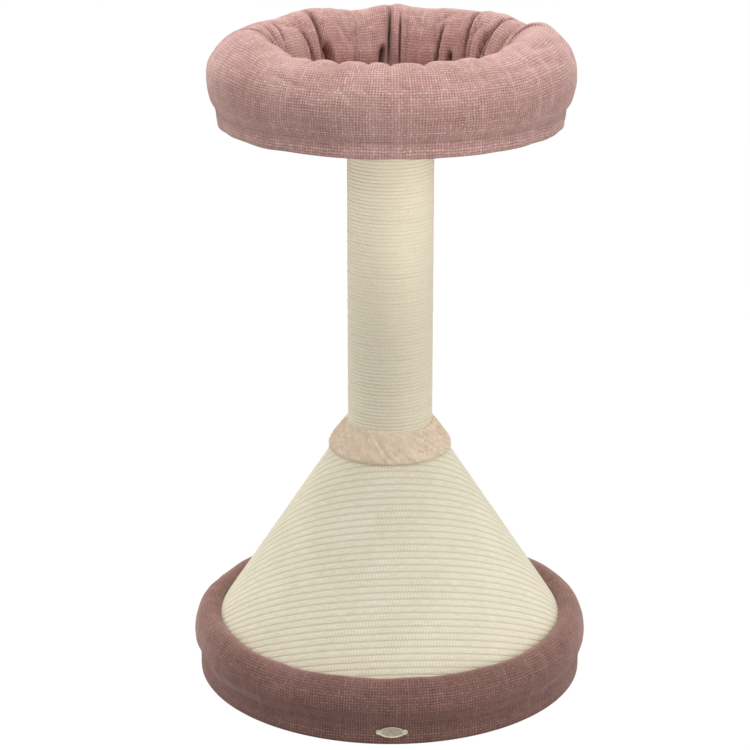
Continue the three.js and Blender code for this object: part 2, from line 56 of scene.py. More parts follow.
# %% [markdown]
# ## The camera
# The photograph looks down at the post by about 18 degrees from a little over 2 m away, through a
# long lens, so the ellipses of the base and of the bed stay flat. The lens and the place were
# found from how wide the base and the bed appear and how far apart they stand.

# %% Camera
CAMERA_DISTANCE = 2.260
CAMERA_HEIGHT = 1.081
CAMERA_PITCH = math.radians(18.42)     # below the horizon
CAMERA_TURN = 0.0071                   # radians to the left, which sets the post right of centre
CAMERA_LENS = 107.76                   # mm, on a sensor 36 mm wide

bpy.ops.object.select_all(action="DESELECT")
bpy.ops.object.camera_add(location=(0, -CAMERA_DISTANCE, CAMERA_HEIGHT))
camera = bpy.context.object
camera.name = "camera"
camera.rotation_euler = (math.pi / 2 - CAMERA_PITCH, 0, CAMERA_TURN)
camera.data.lens = CAMERA_LENS
camera.data.sensor_width = 36
bpy.context.scene.camera = camera

# %% [markdown]
# ## Measures taken from the frame
# Everything below is placed from the boxes of the solid parts, so that a dressed part always sits
# where its solid does. One size that a box can't give, the slope of the cone, follows from the same
# boxes and the given radius of the mat at its top.

# %% Measures
_, base_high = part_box("base_cover")
_, rim_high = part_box("base_rim")
board_low, board_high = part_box("base_board")
_, foot_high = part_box("cone_foot_board")
mat_low, mat_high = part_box("cone_mat")
rope_low, rope_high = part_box("post_rope")
collar_low, collar_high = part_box("collar")
bed_low, bed_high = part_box("bed_cover")
bed_board_low, bed_board_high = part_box("bed_board")
bolster_low, bolster_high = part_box("bed_bolster")
cushion_low, cushion_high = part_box("bed_cushion")
CONE_TOP_RADIUS = 54 * MM              # the mat's outer edge at the top
cone_slope = (mat_high.x - CONE_TOP_RADIUS) / (mat_high.z - mat_low.z)
cone_stretch = math.hypot(1, cone_slope)
print("cone: %.1f mm out for each 100 mm down" % (100 * cone_slope))


def cone_radius(height):
    """The radius of the mat's outer face at a height."""
    return mat_high.x - cone_slope * (height - mat_low.z)


# %% [markdown]
# ## Modelling helpers
# Most of this product is round, so its parts start as an outline that is spun about the post. The
# outline is drawn the way one draws it by hand: one vertex, extruded from point to point, and then
# the spin tool. Cloth needs to know how it lies, so each spun part of cloth also gets a UV map in
# real metres: once round the post in one direction, along the outline in the other. A weave drawn
# on that map follows the surface wherever the folds take it.

# %% Outlines
def in_mm(rows, floor=0.0):
    """Places from rows in mm: a radius, and a height above a floor."""
    return [(radius * MM, floor + height * MM) for radius, height in rows]


def smooth_line(places, spacing):
    """Evenly spaced points on a smooth curve through a few (radius, height) places."""
    p = np.array([places[0], *places, places[-1]], float)
    t = np.linspace(0, 1, 24, endpoint=False)[:, None]
    spans = [
        0.5 * (2 * b + (c - a) * t + (2 * a - 5 * b + 4 * c - d) * t ** 2
               + (3 * b - a - 3 * c + d) * t ** 3)
        for a, b, c, d in zip(p, p[1:], p[2:], p[3:])
    ]
    line = np.vstack([*spans, p[-1:]])
    run = along(line)
    even = np.linspace(0, run[-1], max(2, round(run[-1] / spacing)) + 1)
    return [(np.interp(s, run, line[:, 0]), np.interp(s, run, line[:, 1])) for s in even]


def along(line):
    """The length run along a line up to each of its points."""
    steps = np.linalg.norm(np.diff(np.array(line, float), axis=0), axis=1)
    return np.concatenate([[0], np.cumsum(steps)])


def spun(name, outline, steps):
    """A closed outline of (radius, height) points turned once round the post's axis."""
    bpy.ops.object.select_all(action="DESELECT")
    bpy.ops.mesh.primitive_plane_add(size=MM, location=(0, 0, 0))
    piece = bpy.context.object
    piece.name = piece.data.name = name
    bpy.ops.object.mode_set(mode="EDIT")
    bpy.ops.mesh.merge(type="CENTER")
    bpy.ops.transform.translate(value=(outline[0][0], 0, outline[0][1]))
    for (r0, z0), (r1, z1) in zip(outline, [*outline[1:], outline[0]]):
        step = (r1 - r0, 0, z1 - z0)
        bpy.ops.mesh.extrude_region_move(TRANSFORM_OT_translate={"value": step})
    bpy.ops.mesh.select_all(action="SELECT")
    bpy.ops.mesh.remove_doubles(threshold=0.01 * MM)
    bpy.ops.mesh.spin(steps=steps, angle=math.tau, center=(0, 0, 0), axis=(0, 0, 1))
    bpy.ops.mesh.select_all(action="SELECT")
    bpy.ops.mesh.remove_doubles(threshold=0.01 * MM)
    bpy.ops.mesh.normals_make_consistent(inside=False)
    bpy.ops.object.mode_set(mode="OBJECT")
    bpy.ops.object.shade_smooth()
    return piece


def vectors(items, name):
    """One vector of each vertex or face of a mesh, as the rows of an array."""
    flat = np.empty(3 * len(items))
    items.foreach_get(name, flat)
    return flat.reshape(-1, 3)


def points_of(piece):
    return vectors(piece.data.vertices, "co")


def move_points(piece, points):
    piece.data.vertices.foreach_set("co", points.astype(np.float32).ravel())
    piece.data.update()


def azimuths(points):
    """Angles round the post from the front, positive to the right."""
    return np.arctan2(points[:, 0], -points[:, 1])


def radii(points):
    """How far points lie from the post's axis."""
    return np.hypot(points[:, 0], points[:, 1])


def round_post(angle, radius, height):
    """The points at angles from the front, at a radius and a height."""
    return np.stack([radius * np.sin(angle), -radius * np.cos(angle), height], axis=1)


def corners_of(piece):
    """The number of the vertex at each corner of each face."""
    corner = np.empty(len(piece.data.loops), int)
    piece.data.loops.foreach_get("vertex_index", corner)
    return corner


def write_uv(piece, name, uv):
    """Gives a piece its UV map, which holds a place for each corner of each face."""
    layer = piece.data.uv_layers.active or piece.data.uv_layers.new()
    layer.name = name
    layer.data.foreach_set("uv", uv.astype(np.float32).ravel())


def place_on(points, outline):
    """For each point of a spun piece, how far along its outline it lies."""
    run = along([*outline, outline[0]])[:-1]
    flat = np.stack([radii(points), points[:, 2]], axis=1)
    gaps = np.linalg.norm(flat[:, None, :] - np.array(outline)[None, :, :], axis=2)
    return run[gaps.argmin(axis=1)]


def lay_cloth(piece, outline, radius, flat_under=True):
    """A UV map in metres: round the post at a radius, and along the outline. A face that looks
    straight down gets the cloth laid flat instead."""
    faces = piece.data.polygons
    points, corner = points_of(piece), corners_of(piece)
    angle, run = azimuths(points), place_on(points, outline)
    sizes = np.empty(len(faces), int)
    faces.foreach_get("loop_total", sizes)
    centre_angle = np.repeat(azimuths(vectors(faces, "center")), sizes)
    turn = (angle[corner] - centre_angle + math.pi) % math.tau - math.pi
    uv = np.stack([(centre_angle + turn) * radius, run[corner]], axis=1)
    if flat_under:
        under = np.repeat(vectors(faces, "normal")[:, 2] < -0.95, sizes)
        uv[under] = points[corner][under][:, :2]
    write_uv(piece, "cloth", uv)
    print("%s: %d faces" % (piece.name, len(faces)))


def select_only(piece):
    bpy.ops.object.select_all(action="DESELECT")
    piece.select_set(True)
    bpy.context.view_layer.objects.active = piece


def modified(piece, kind, **settings):
    """Adds one modifier to a piece and applies it."""
    select_only(piece)
    modifier = piece.modifiers.new(kind.lower(), kind)
    for name, value in settings.items():
        setattr(modifier, name, value)
    bpy.ops.object.modifier_apply(modifier=modifier.name)


# %% [markdown]
# ## Materials
# A material here is a small tree of nodes. One function adds a node: its settings are given by
# name, and its inputs are either values or other nodes, which are then linked. Colours are read
# off as sRGB hex values, and one function turns them into the linear light that the shader wants.

# %% Node helpers and colour
def linear(code, alpha=1.0):
    """An sRGB hex colour as linear light."""
    parts = [int(code[i:i + 2], 16) / 255 for i in (1, 3, 5)]
    return (*[c / 12.92 if c <= 0.04045 else ((c + 0.055) / 1.055) ** 2.4 for c in parts], alpha)


def feed(node, inputs):
    """Fills inputs of a node, by the socket's name or number, with values, or links them to
    nodes or sockets."""
    pairs = inputs.items() if isinstance(inputs, dict) else enumerate(inputs)
    for socket, value in pairs:
        if isinstance(value, bpy.types.Node):
            value = value.outputs[0]
        if isinstance(value, bpy.types.NodeSocket):
            node.id_data.links.new(value, node.inputs[socket])
        else:
            node.inputs[socket].default_value = value


def add(tree, kind, inputs=(), **settings):
    """Adds a shader node with its settings and inputs. Its operation, if it has one, is the
    second word of its kind."""
    kind, *operation = kind.split()
    made = tree.nodes.new("ShaderNode" + kind)
    if operation:
        made.operation = operation[0]
    for name, value in settings.items():
        setattr(made, name, value)
    feed(made, inputs)
    return made


def new_material(name):
    """An empty material: its node tree and its surface shader."""
    material = bpy.data.materials.new(name)
    material.use_nodes = True
    tree = material.node_tree
    return material, tree, tree.nodes["Principled BSDF"]


def dress(piece, material):
    """Puts one material on a piece."""
    piece.data.materials.clear()
    piece.data.materials.append(material)
    return piece


# %% [markdown]
# ### Woven cover of slubby polyester
# The bed and the base are covered in an upholstery cloth of soft, uneven (slubby) yarns. To the
# eye it is a lattice: about every 3 mm a pale yarn runs each way over a mauve ground, and a dark
# pinhole stays in each corner between them. No yarn is like the next: each has its own strength,
# and it thickens and thins along its run. So the lattice comes out in patches and fades in others,
# and that unevenness matters more here than the grid itself. The cloth is matt, with a soft bloom
# of loose fibre at grazing angles, so it gets high roughness and some sheen. Deep in a gather its
# colour is darkened towards the pinhole tone as painted shade, and an attribute of the mesh says where.
# The base gets a copy of the same weave with all its tones darker.

# %% Woven cover
YARN_STEP = 3.0 * MM
WARP_SLUB = 50 * MM                    # how long a thick place in a yarn runs, along the section
WEFT_SLUB = 22 * MM                    # and round the ring
YARNS_IN_BAND = 4                      # pale yarns come a few together


def yarns(tree, across, run, slub_length, salt):
    """One set of parallel yarns: how high each stands, how pale it is here, and its number."""
    half = add(tree, "Math PINGPONG", [across, 0.5])
    full = add(tree, "Math MULTIPLY", [half, 2.0])
    crown = add(tree, "Math POWER", [full, 0.7])
    count = add(tree, "Math FLOOR", [across])
    salted = add(tree, "Math ADD", [count, salt])
    own = add(tree, "TexWhiteNoise", {"W": salted}, noise_dimensions="1D")
    band = add(tree, "TexNoise", {"W": salted, "Scale": 1 / YARNS_IN_BAND, "Detail": 1.0},
               noise_dimensions="1D")
    slow = add(tree, "Math MULTIPLY", [run, YARN_STEP / slub_length])
    track = add(tree, "CombineXYZ", [slow, add(tree, "Math MULTIPLY", [count, 7.3 + salt])])
    slub = add(tree, "TexNoise", {"Vector": track, "Scale": 1.0, "Detail": 4.0, "Roughness": 0.7},
               noise_dimensions="2D")
    weight = add(tree, "Math MULTIPLY_ADD", [own, 0.35, add(tree, "Math ADD", [band, slub])])
    strength = add(tree, "MapRange", [weight, 0.8, 1.6, 0.05, 1.0])
    return crown, add(tree, "Math MULTIPLY", [crown, strength]), count


def woven_cover(name, ground, pale, deep, bloom, bloom_tint):
    material, tree, surface = new_material(name)
    cloth = add(tree, "UVMap", uv_map="cloth")
    drift = add(tree, "TexNoise", {"Vector": cloth, "Scale": 60.0, "Detail": 3.0},
                noise_dimensions="2D")
    centred = add(tree, "VectorMath SUBTRACT", [drift.outputs["Color"], (0.5, 0.5, 0.5)])
    counted = add(tree, "VectorMath SCALE", {0: cloth, "Scale": 1 / YARN_STEP})
    wavy = add(tree, "VectorMath MULTIPLY_ADD", [centred, (0.8, 0.8, 0), counted])
    parts = add(tree, "SeparateXYZ", [wavy])
    round_ring, along_section = parts.outputs[0], parts.outputs[1]
    warp_crown, warp, warp_count = yarns(tree, round_ring, along_section, WARP_SLUB, 0.0)
    weft_crown, weft, weft_count = yarns(tree, along_section, round_ring, WEFT_SLUB, 57.0)
    both = add(tree, "Math ADD", [warp_count, weft_count])
    parity = add(tree, "Math FLOORED_MODULO", [both, 2.0])

    crossing = add(tree, "CombineXYZ", [warp_count, weft_count])
    knot = add(tree, "TexWhiteNoise", {"Vector": crossing}, noise_dimensions="2D")

    upper = add(tree, "Mix", {0: parity, 2: warp, 3: weft})
    palest = add(tree, "Math MAXIMUM", [warp, weft])
    even_lattice = add(tree, "Mix", {0: 0.62, 2: palest, 3: upper})
    lattice = add(tree, "Math MULTIPLY", [even_lattice,
                                          add(tree, "MapRange", [knot, 0.0, 1.0, 0.45, 1.3])])
    fuzz = add(tree, "TexNoise", {"Vector": cloth, "Scale": 620.0, "Detail": 4.0,
                                  "Roughness": 0.75}, noise_dimensions="2D")
    broad = add(tree, "TexNoise", {"Vector": cloth, "Scale": 14.0, "Detail": 3.0},
                noise_dimensions="2D")
    heathered = add(tree, "Math MULTIPLY_ADD", [lattice, 0.66, add(tree, "Math MULTIPLY", [fuzz, 1.5])])
    tone = add(tree, "Math MULTIPLY_ADD", [broad, 0.5, add(tree, "Math SUBTRACT", [heathered, 0.78])])
    yarn = add(tree, "Mix", {0: tone, 6: linear(ground), 7: linear(pale)}, data_type="RGBA")

    warp_gap = add(tree, "Math SUBTRACT", [1.0, warp_crown])
    weft_gap = add(tree, "Math SUBTRACT", [1.0, weft_crown])
    corner = add(tree, "Math MULTIPLY", [warp_gap, weft_gap])
    patch = add(tree, "TexNoise", {"Vector": cloth, "Scale": 55.0, "Detail": 3.0},
                noise_dimensions="2D")
    openness = add(tree, "Math MULTIPLY", [add(tree, "MapRange", [patch, 0.38, 0.68, 0.2, 0.9]),
                                           add(tree, "MapRange", [knot, 0.0, 1.0, 1.25, 0.35])])
    pinhole = add(tree, "Math MULTIPLY", [add(tree, "MapRange", [corner, 0.05, 0.5, 0.0, 1.0]), openness])
    gap = add(tree, "Math MAXIMUM", [warp_gap, weft_gap])
    sunk = add(tree, "Math MULTIPLY_ADD", [gap, 0.26, add(tree, "Math MULTIPLY", [pinhole, 0.7])])
    woven_tone = add(tree, "Mix", {0: sunk, 6: yarn.outputs[2], 7: linear(deep)}, data_type="RGBA")
    # painted shade: where the mesh's attribute marks a fold or pleat, the colour is darkened towards the
    # pinhole tone
    painted_fold_shade = add(tree, "Attribute", attribute_name="painted_fold_shade").outputs["Fac"]
    fold_shade_share = add(tree, "Math MULTIPLY", [painted_fold_shade, 0.85])
    colour = add(tree, "Mix", {0: fold_shade_share, 6: woven_tone.outputs[2], 7: linear(deep)},
                 data_type="RGBA")

    raised = add(tree, "Mix", {0: parity, 2: warp_crown, 3: weft_crown})
    lowered = add(tree, "Mix", {0: parity, 2: weft_crown, 3: warp_crown})
    woven = add(tree, "Math MULTIPLY", [raised, add(tree, "Math MULTIPLY_ADD", [lowered, 0.4, 0.6])])
    fuzzy = add(tree, "Math MULTIPLY_ADD", [fuzz, 0.3, woven])
    lift = add(tree, "Math MULTIPLY_ADD", [palest, 0.5, fuzzy])
    bump = add(tree, "Bump", {"Strength": 0.35, "Distance": 0.6 * MM, "Height": lift})
    feed(surface, {"Base Color": colour.outputs[2], "Normal": bump, "Roughness": 0.95,
                   "Specular IOR Level": 0.2, "Sheen Weight": bloom, "Sheen Roughness": 0.4,
                   "Sheen Tint": linear(bloom_tint)})
    return material


# the third colour is the tone of the pinholes, and also of the shade painted into the gathers
bed_cloth = woven_cover("woven_polyester_mauve", "#a97b74", "#e4c1ba", "#6b4640", 0.8, "#ecccc6")
# a copy of the bed's cloth with darker tones
base_cloth = woven_cover("woven_polyester_mauve_darker_copy", "#73514a", "#a8837b", "#42291f", 1.0,
                         "#dcbab3")

# %% [markdown]
# ### Sisal, as rope and as a ribbed mat
# Sisal is a stiff, straw-coloured plant fibre. The rope is twisted from strands, so fine slanting
# lines run round it, and single fibres are a little lighter or darker. The mat is woven: thick
# ribs of sisal weft lie side by side, and fine warp threads tie them down every few millimetres,
# which leaves faint dots on each rib and dark stitches in the grooves. The grooves also get painted
# shade, darkest at the stitches. Both are quite matt. Neither has any real sheen, but the fibres
# catch a little light, so the roughness stays just below that of cloth.

# %% Sisal rope
ROPE_DIAMETER = 3.85 * MM
STRAND_STEP = 3.1 * MM                 # along the rope, from one strand to the next


def sisal_rope(name):
    material, tree, surface = new_material(name)
    run = add(tree, "UVMap", uv_map="rope")
    parts = add(tree, "SeparateXYZ", [run])
    strands = add(tree, "Math MULTIPLY", [parts.outputs[0], 1 / STRAND_STEP])
    slanted = add(tree, "Math MULTIPLY_ADD", [parts.outputs[1], 3.0, strands])
    lay = add(tree, "Math PINGPONG", [slanted, 0.5])
    rounded = add(tree, "Math POWER", [add(tree, "Math MULTIPLY", [lay, 2.0]), 0.5])
    fibres = add(tree, "CombineXYZ", [slanted, add(tree, "Math MULTIPLY", [parts.outputs[1], 14.0])])
    fine = add(tree, "TexNoise", {"Vector": fibres, "Scale": 1.3, "Detail": 4.0},
               noise_dimensions="2D")
    place = add(tree, "TexCoord").outputs["Object"]
    patches = add(tree, "TexNoise", {"Vector": place, "Scale": 26.0, "Detail": 4.0})
    stretched = add(tree, "VectorMath MULTIPLY", [place, (6.0, 6.0, 260.0)])
    turns = add(tree, "TexNoise", {"Vector": stretched, "Scale": 1.0, "Detail": 1.0})
    mixed = add(tree, "Math MULTIPLY_ADD", [fine, 1.3, add(tree, "Math MULTIPLY", [turns, 0.3])])
    tone = add(tree, "Math MULTIPLY_ADD", [patches, 0.3, add(tree, "Math SUBTRACT", [mixed, 0.45])])
    colour = add(tree, "Mix", {0: tone, 6: linear("#e0d6b8"), 7: linear("#faf3df")},
                 data_type="RGBA")
    height = add(tree, "Math MULTIPLY_ADD", [fine, 0.5, rounded])
    bump = add(tree, "Bump", {"Strength": 0.25, "Distance": 0.4 * MM, "Height": height})
    feed(surface, {"Base Color": colour.outputs[2], "Normal": bump, "Roughness": 0.85,
                   "Specular IOR Level": 0.25})
    return material


rope_sisal = sisal_rope("twisted_sisal_rope")

# %% Sisal mat
RIB_PITCH = 7.1 * MM
WARP_STEP = 3.4 * MM                   # along a rib, from one tying thread to the next


def sisal_mat(name):
    material, tree, surface = new_material(name)
    flat = add(tree, "UVMap", uv_map="cloth")
    parts = add(tree, "SeparateXYZ", [flat])
    ribs = add(tree, "Math MULTIPLY", [parts.outputs[1], 1 / RIB_PITCH])
    crown = add(tree, "Math MULTIPLY", [add(tree, "Math PINGPONG", [ribs, 0.5]), 2.0])
    number = add(tree, "Math FLOOR", [ribs])
    ties = add(tree, "Math MULTIPLY_ADD", [parts.outputs[0], 1 / WARP_STEP,
                                           add(tree, "Math MULTIPLY", [number, 0.5])])
    tie = add(tree, "Math MULTIPLY", [add(tree, "Math PINGPONG", [ties, 0.5]), 2.0])
    tied = add(tree, "MapRange", [tie, 0.0, 0.45, 1.0, 0.0])
    stretched = add(tree, "VectorMath MULTIPLY", [flat, (90.0, 900.0, 1.0)])
    fibres = add(tree, "TexNoise", {"Vector": stretched, "Scale": 1.0, "Detail": 4.0},
                 noise_dimensions="2D")
    patches = add(tree, "TexNoise", {"Vector": flat, "Scale": 20.0, "Detail": 4.0},
                  noise_dimensions="2D")
    own = add(tree, "TexWhiteNoise", {"W": number}, noise_dimensions="1D")
    mixed = add(tree, "Math MULTIPLY_ADD", [fibres, 0.95, add(tree, "Math MULTIPLY", [own, 0.05])])
    tone = add(tree, "Math MULTIPLY_ADD", [patches, 0.35, mixed])
    dotted = add(tree, "Math MULTIPLY_ADD", [tied, -0.22, tone])
    sisal = add(tree, "Mix", {0: dotted, 6: linear("#d5ccac"), 7: linear("#f5efdc")},
                data_type="RGBA")
    # painted shade in the grooves between the ribs, darkest where a real warp stitch crosses them
    groove = add(tree, "MapRange", [crown, 0.0, 0.45, 1.0, 0.0])
    stitch_and_groove_shade = add(tree, "Math ADD", [add(tree, "Math MULTIPLY_ADD", [tied, 0.5, 0.1]),
                                      add(tree, "Math MULTIPLY", [fibres, 0.3])])
    shaded = add(tree, "Math MULTIPLY", [groove, stitch_and_groove_shade])
    colour = add(tree, "Mix", {0: shaded, 6: sisal.outputs[2], 7: linear("#b3a986")},
                 data_type="RGBA")
    dip = add(tree, "Math MULTIPLY_ADD", [tied, -0.8, fibres])
    bump = add(tree, "Bump", {"Strength": 0.5, "Distance": 0.6 * MM, "Height": dip})
    feed(surface, {"Base Color": colour.outputs[2], "Normal": bump, "Roughness": 0.88,
                   "Specular IOR Level": 0.2})
    return material


mat_sisal = sisal_mat("ribbed_sisal_mat")

# %% [markdown]
# ### The other materials
# The rest are simpler, and they share one pattern: two tones mixed by a noise that is stretched to
# the grain of the material, with the same noise as a bump. Short pile fabric (plush) is a warm
# cream. Chipboard is pressed from wood chips a few millimetres long. Hardboard is pressed wood
# fibre, brown and even. The tubes are wound from grey-brown paperboard. The bolts are steel
# with a bright zinc plate, and the badge is cast zinc with an aged nickel plate, darker in its
# hollow than on its rim.

# %% Speckled materials
def speckled(name, dark, light, grain, roughness, metallic=0.0, bump=0.3, depth=0.3 * MM):
    """Two tones mixed by a noise with grain, the number of features in a metre along each axis."""
    material, tree, surface = new_material(name)
    place = add(tree, "TexCoord").outputs["Object"]
    scaled = add(tree, "VectorMath MULTIPLY", [place, grain])
    fine = add(tree, "TexNoise", {"Vector": scaled, "Scale": 1.0, "Detail": 5.0,
                                  "Roughness": 0.6})
    spread = add(tree, "MapRange", [fine, 0.3, 0.7, 0.0, 1.0])
    colour = add(tree, "Mix", {0: spread, 6: linear(dark), 7: linear(light)}, data_type="RGBA")
    relief = add(tree, "Bump", {"Strength": bump, "Distance": depth, "Height": fine})
    feed(surface, {"Base Color": colour.outputs[2], "Normal": relief, "Roughness": roughness,
                   "Metallic": metallic})
    return material


pile = speckled("polyester_plush", "#ead8c2", "#f8ebd9", (160, 160, 160), 0.98)
chipboard = speckled("raw_chipboard", "#9d7d50", "#cbaf80", (170, 170, 300), 0.85)
hardboard = speckled("brown_hardboard", "#6d5034", "#8f6d4b", (500, 500, 500), 0.8, bump=0.15)
paperboard = speckled("wound_paperboard", "#937757", "#b39673", (40, 40, 400), 0.9, bump=0.15)
zinc = speckled("zinc_plated_steel", "#b4b8bb", "#d3d6d8", (300, 300, 300), 0.32, 1.0, bump=0.05)
nickel = speckled("aged_nickel_plate", "#b3a894", "#d0c6b3", (260, 260, 260), 0.42, 1.0, bump=0.1)
hollow = speckled("aged_nickel_hollow", "#93897a", "#b4aa98", (260, 260, 260), 0.55, 1.0, bump=0.2)
steel_wire = speckled("bright_steel_wire", "#9a9da0", "#c5c8ca", (500, 500, 500), 0.35, 1.0)

# %% [markdown]
# ## The bolster
# The bolster is a long tube of cloth, stuffed with wadding and bent into a ring. The cloth was cut
# straight, so the inside of the ring has far too much of it, and a thread gathers it there in deep
# folds. It could be simulated from a straight tube, but then no fold would lie where it lies on
# this one. So its section is spun into a fine ring first, and then the folds and pleats are
# pressed in one by one, each at its own place.

# %% Section of the bolster
bolster_floor = bolster_low.z
section = [(bed_high.x - 0.4 * MM, bolster_floor), (bed_high.x - 0.2 * MM, bolster_floor - 3.2 * MM)]
section += smooth_line([
    (bed_high.x + 0.3 * MM, bolster_floor - 3.6 * MM),
    (bed_high.x + 0.8 * MM, bolster_floor - 1.2 * MM),
    (bed_high.x + 2.6 * MM, bolster_floor + 2.4 * MM),
    (184.6 * MM, bolster_floor + 9 * MM),
    (bolster_high.x - 0.3 * MM, bolster_floor + 24 * MM),
    *in_mm([(186.3, 40), (181.0, 54), (172.0, 65), (161.0, 73)], bolster_floor),
    (150.0 * MM, bolster_high.z),
    *in_mm([(139.5, 74.5), (130.0, 67), (122.5, 54), (117.5, 36), (115.4, 18), (115.0, 4),
            (117.0, 0)], bolster_floor),
], 2.4 * MM)
section_core = np.array([151 * MM, bolster_floor + 38 * MM])
section_length = along(section)[-1]
print("bolster section: %d points, %.0f mm long" % (len(section), section_length / MM))

# %% [markdown]
# The ring isn't level. Its two sides bulge, its front lies pressed down a little, and at the
# back the crest dips between the gathers. A short list says how far the ridge has settled or risen
# at a few places round the ring, and the rest follows smoothly in between.

# %% How the ring has settled
# azimuth in degrees, and how far the ridge stands above its plain height and outside its plain
# radius there, in mm
SETTLED = [
    (-180, 0, 0), (-167, -5, 0), (-146, 0, 0), (-126, -6, 0), (-104, -4, 0), (-84, 0.5, 0),
    (-62, 0, 0), (-41, -9, 0), (0, -9, 0), (40, -9, 0), (60, -1, 0.5), (78, 3, 1.5), (94, 4, 1.5),
    (113, -6, 0), (130, -1, 0), (163, -3.5, 0), (180, 0, 0),
]


def part_of(value, whole):
    """How large a part of a whole a value is, from 0 to 1 at most."""
    return np.clip(value / whole, 0, 1)


def eased(part):
    """The same part, with a soft start and a soft end."""
    return part * part * (3 - 2 * part)


def settle(points):
    """Raises or sinks the ridge of the ring as the list says, and leaves its foot in place."""
    angle = np.degrees(azimuths(points))
    place, rise, out = (np.array(column, float) for column in zip(*SETTLED))
    before = np.clip(np.searchsorted(place, angle, side="right") - 1, 0, len(place) - 2)
    step = eased((angle - place[before]) / (place[before + 1] - place[before]))
    high = part_of(points[:, 2] - bolster_floor, bolster_high.z - bolster_floor)
    radius = radii(points)
    lift = (rise[before] + (rise[before + 1] - rise[before]) * step) * MM * high
    push = (out[before] + (out[before + 1] - out[before]) * step) * MM * np.sin(np.pi * high)
    wider = 1 + np.where(radius > section_core[0], push, 0) / radius
    return np.stack([points[:, 0] * wider, points[:, 1] * wider, points[:, 2] + lift], axis=1)


# %% [markdown]
# A fold is a valley where two soft bulges meet. Seen across, each bulge is round, so the valley is
# a cusp: steep right at its line and level a little way off. Each side has its own width, and a
# tuck draws the bottom of the valley in under one side. A pleat is much narrower: the cloth is
# nipped together along a line, deep and V-shaped. The pleats make the crisp lines of real gathers,
# and the folds make the soft waves between them. Both also paint shade into the colour along their lines.

# %% Folds of the bolster
# azimuth of the fold at the ridge, lean towards its foot, depth in mm, where it starts along the
# section (0 outer foot, 1 inner foot), widths of its two sides and tuck, all angles in degrees
FOLDS = [
    (-179.5, 0.5, 9, 0.44, 6.0, 5.0, 0.0),
    (-164.0, 4.0, 6, 0.44, 6.0, 5.0, 0.0),
    (-141.5, -1.0, 11, 0.40, 6.0, 4.0, 0.0),
    (-132.5, -3.0, 8, 0.52, 4.0, 3.0, 0.0),
    (-120.0, 10.0, 9, 0.44, 5.0, 4.0, 0.0),
    (-109.0, 2.0, 9, 0.46, 4.0, 4.0, 0.0),
    (-99.0, -8.0, 9, 0.44, 4.0, 4.0, 0.0),
    (-88.0, -20.0, 12, 0.44, 5.0, 4.0, 0.0),
    (-74.0, -3.0, 13, 0.48, 6.0, 5.0, -1.0),
    (-59.0, -2.0, 12, 0.48, 6.5, 4.5, 1.0),
    (-45.5, 0.0, 12, 0.47, 5.0, 6.0, 0.8),
    (-31.0, 1.0, 16, 0.415, 6.0, 4.5, 0.6),
    (-19.8, 0.0, 17, 0.41, 5.0, 5.0, -0.6),
    (-8.6, 0.0, 12, 0.425, 4.5, 3.5, 0.5),
    (-0.2, 0.5, 12, 0.43, 3.5, 5.0, -0.5),
    (12.2, 0.0, 17, 0.415, 5.0, 6.0, 0.6),
    (25.0, 0.0, 9, 0.44, 6.0, 5.5, 0.5),
    (36.5, -1.0, 14, 0.42, 5.0, 5.5, -0.8),
    (48.0, -1.0, 9, 0.46, 5.0, 6.0, 0.6),
    (61.0, 2.0, 13, 0.48, 5.0, 6.5, 1.0),
    (74.0, -2.0, 12, 0.48, 6.0, 5.0, -1.0),
    (88.0, 8.0, 17, 0.44, 2.4, 5.0, -2.0),
    (99.0, 4.0, 15, 0.43, 2.4, 5.0, -1.8),
    (111.0, 3.0, 8, 0.44, 5.0, 5.0, 0.5),
    (122.5, 4.0, 11, 0.42, 4.0, 6.0, 0.0),
    (133.8, 2.0, 4, 0.44, 4.0, 4.0, 0.0),
    (139.6, -1.0, 11, 0.42, 4.0, 6.0, 0.0),
    (161.0, -8.0, 6, 0.44, 5.0, 5.0, 0.0),
    (171.8, 1.0, 4, 0.46, 4.0, 4.0, 0.0),
]
# the crisp pleats: azimuth and place along the section at the upper end, then at the lower end,
# depth in mm and half width in degrees
PLEATS = [
    (-141.8, 0.50, -142.0, 0.82, 17, 1.4), (-131.5, 0.64, -135.5, 0.84, 13, 1.3),
    (-120.5, 0.56, -114.0, 0.76, 10, 1.3), (-109.0, 0.60, -107.0, 0.74, 8, 1.3),
    (-90.0, 0.51, -103.0, 0.70, 9, 1.5), (-179.7, 0.49, -178.8, 0.90, 19, 1.5),
    (-144.5, 0.76, -147.5, 0.95, 16, 3.2), (-175.8, 0.79, -174.0, 0.95, 16, 2.8),
    (175.5, 0.60, 175.5, 0.90, 10, 1.0),
    (153.4, 0.66, 156.4, 0.92, 14, 1.3), (139.8, 0.49, 138.7, 0.88, 17, 1.4),
    (122.3, 0.49, 125.5, 0.82, 17, 1.4), (125.8, 0.66, 128.5, 0.84, 10, 1.2),
    (147.0, 0.80, 148.5, 0.95, 12, 2.2), (104.0, 0.52, 109.0, 0.76, 11, 1.4),
    (90.0, 0.50, 97.0, 0.72, 9, 1.4),
]
FOLD_RUN = 0.34                        # share of the section over which a fold reaches its depth
FOOT_RUN = 0.14                        # and over which it fades out again at the sewn foot
PUFF = 3.0 * MM                        # how far the cloth bulges between the folds
PUFF_START, PUFF_RUN = 0.45, 0.3       # where along the section that starts, and how fast it grows
# the painted shade of a fold grows with its depth, up to this
DARKEST = 25                           # mm, a fold this deep would be as dark as a pleat
PLEAT_END = 0.3                        # share of a pleat's length over which it starts or ends
PLEAT_TAIL = 1.2                       # a pleat ends this many of its lengths below its start


def wrapped(degrees):
    """The same angle, between -180 and 180 degrees."""
    return (degrees + 180) % 360 - 180


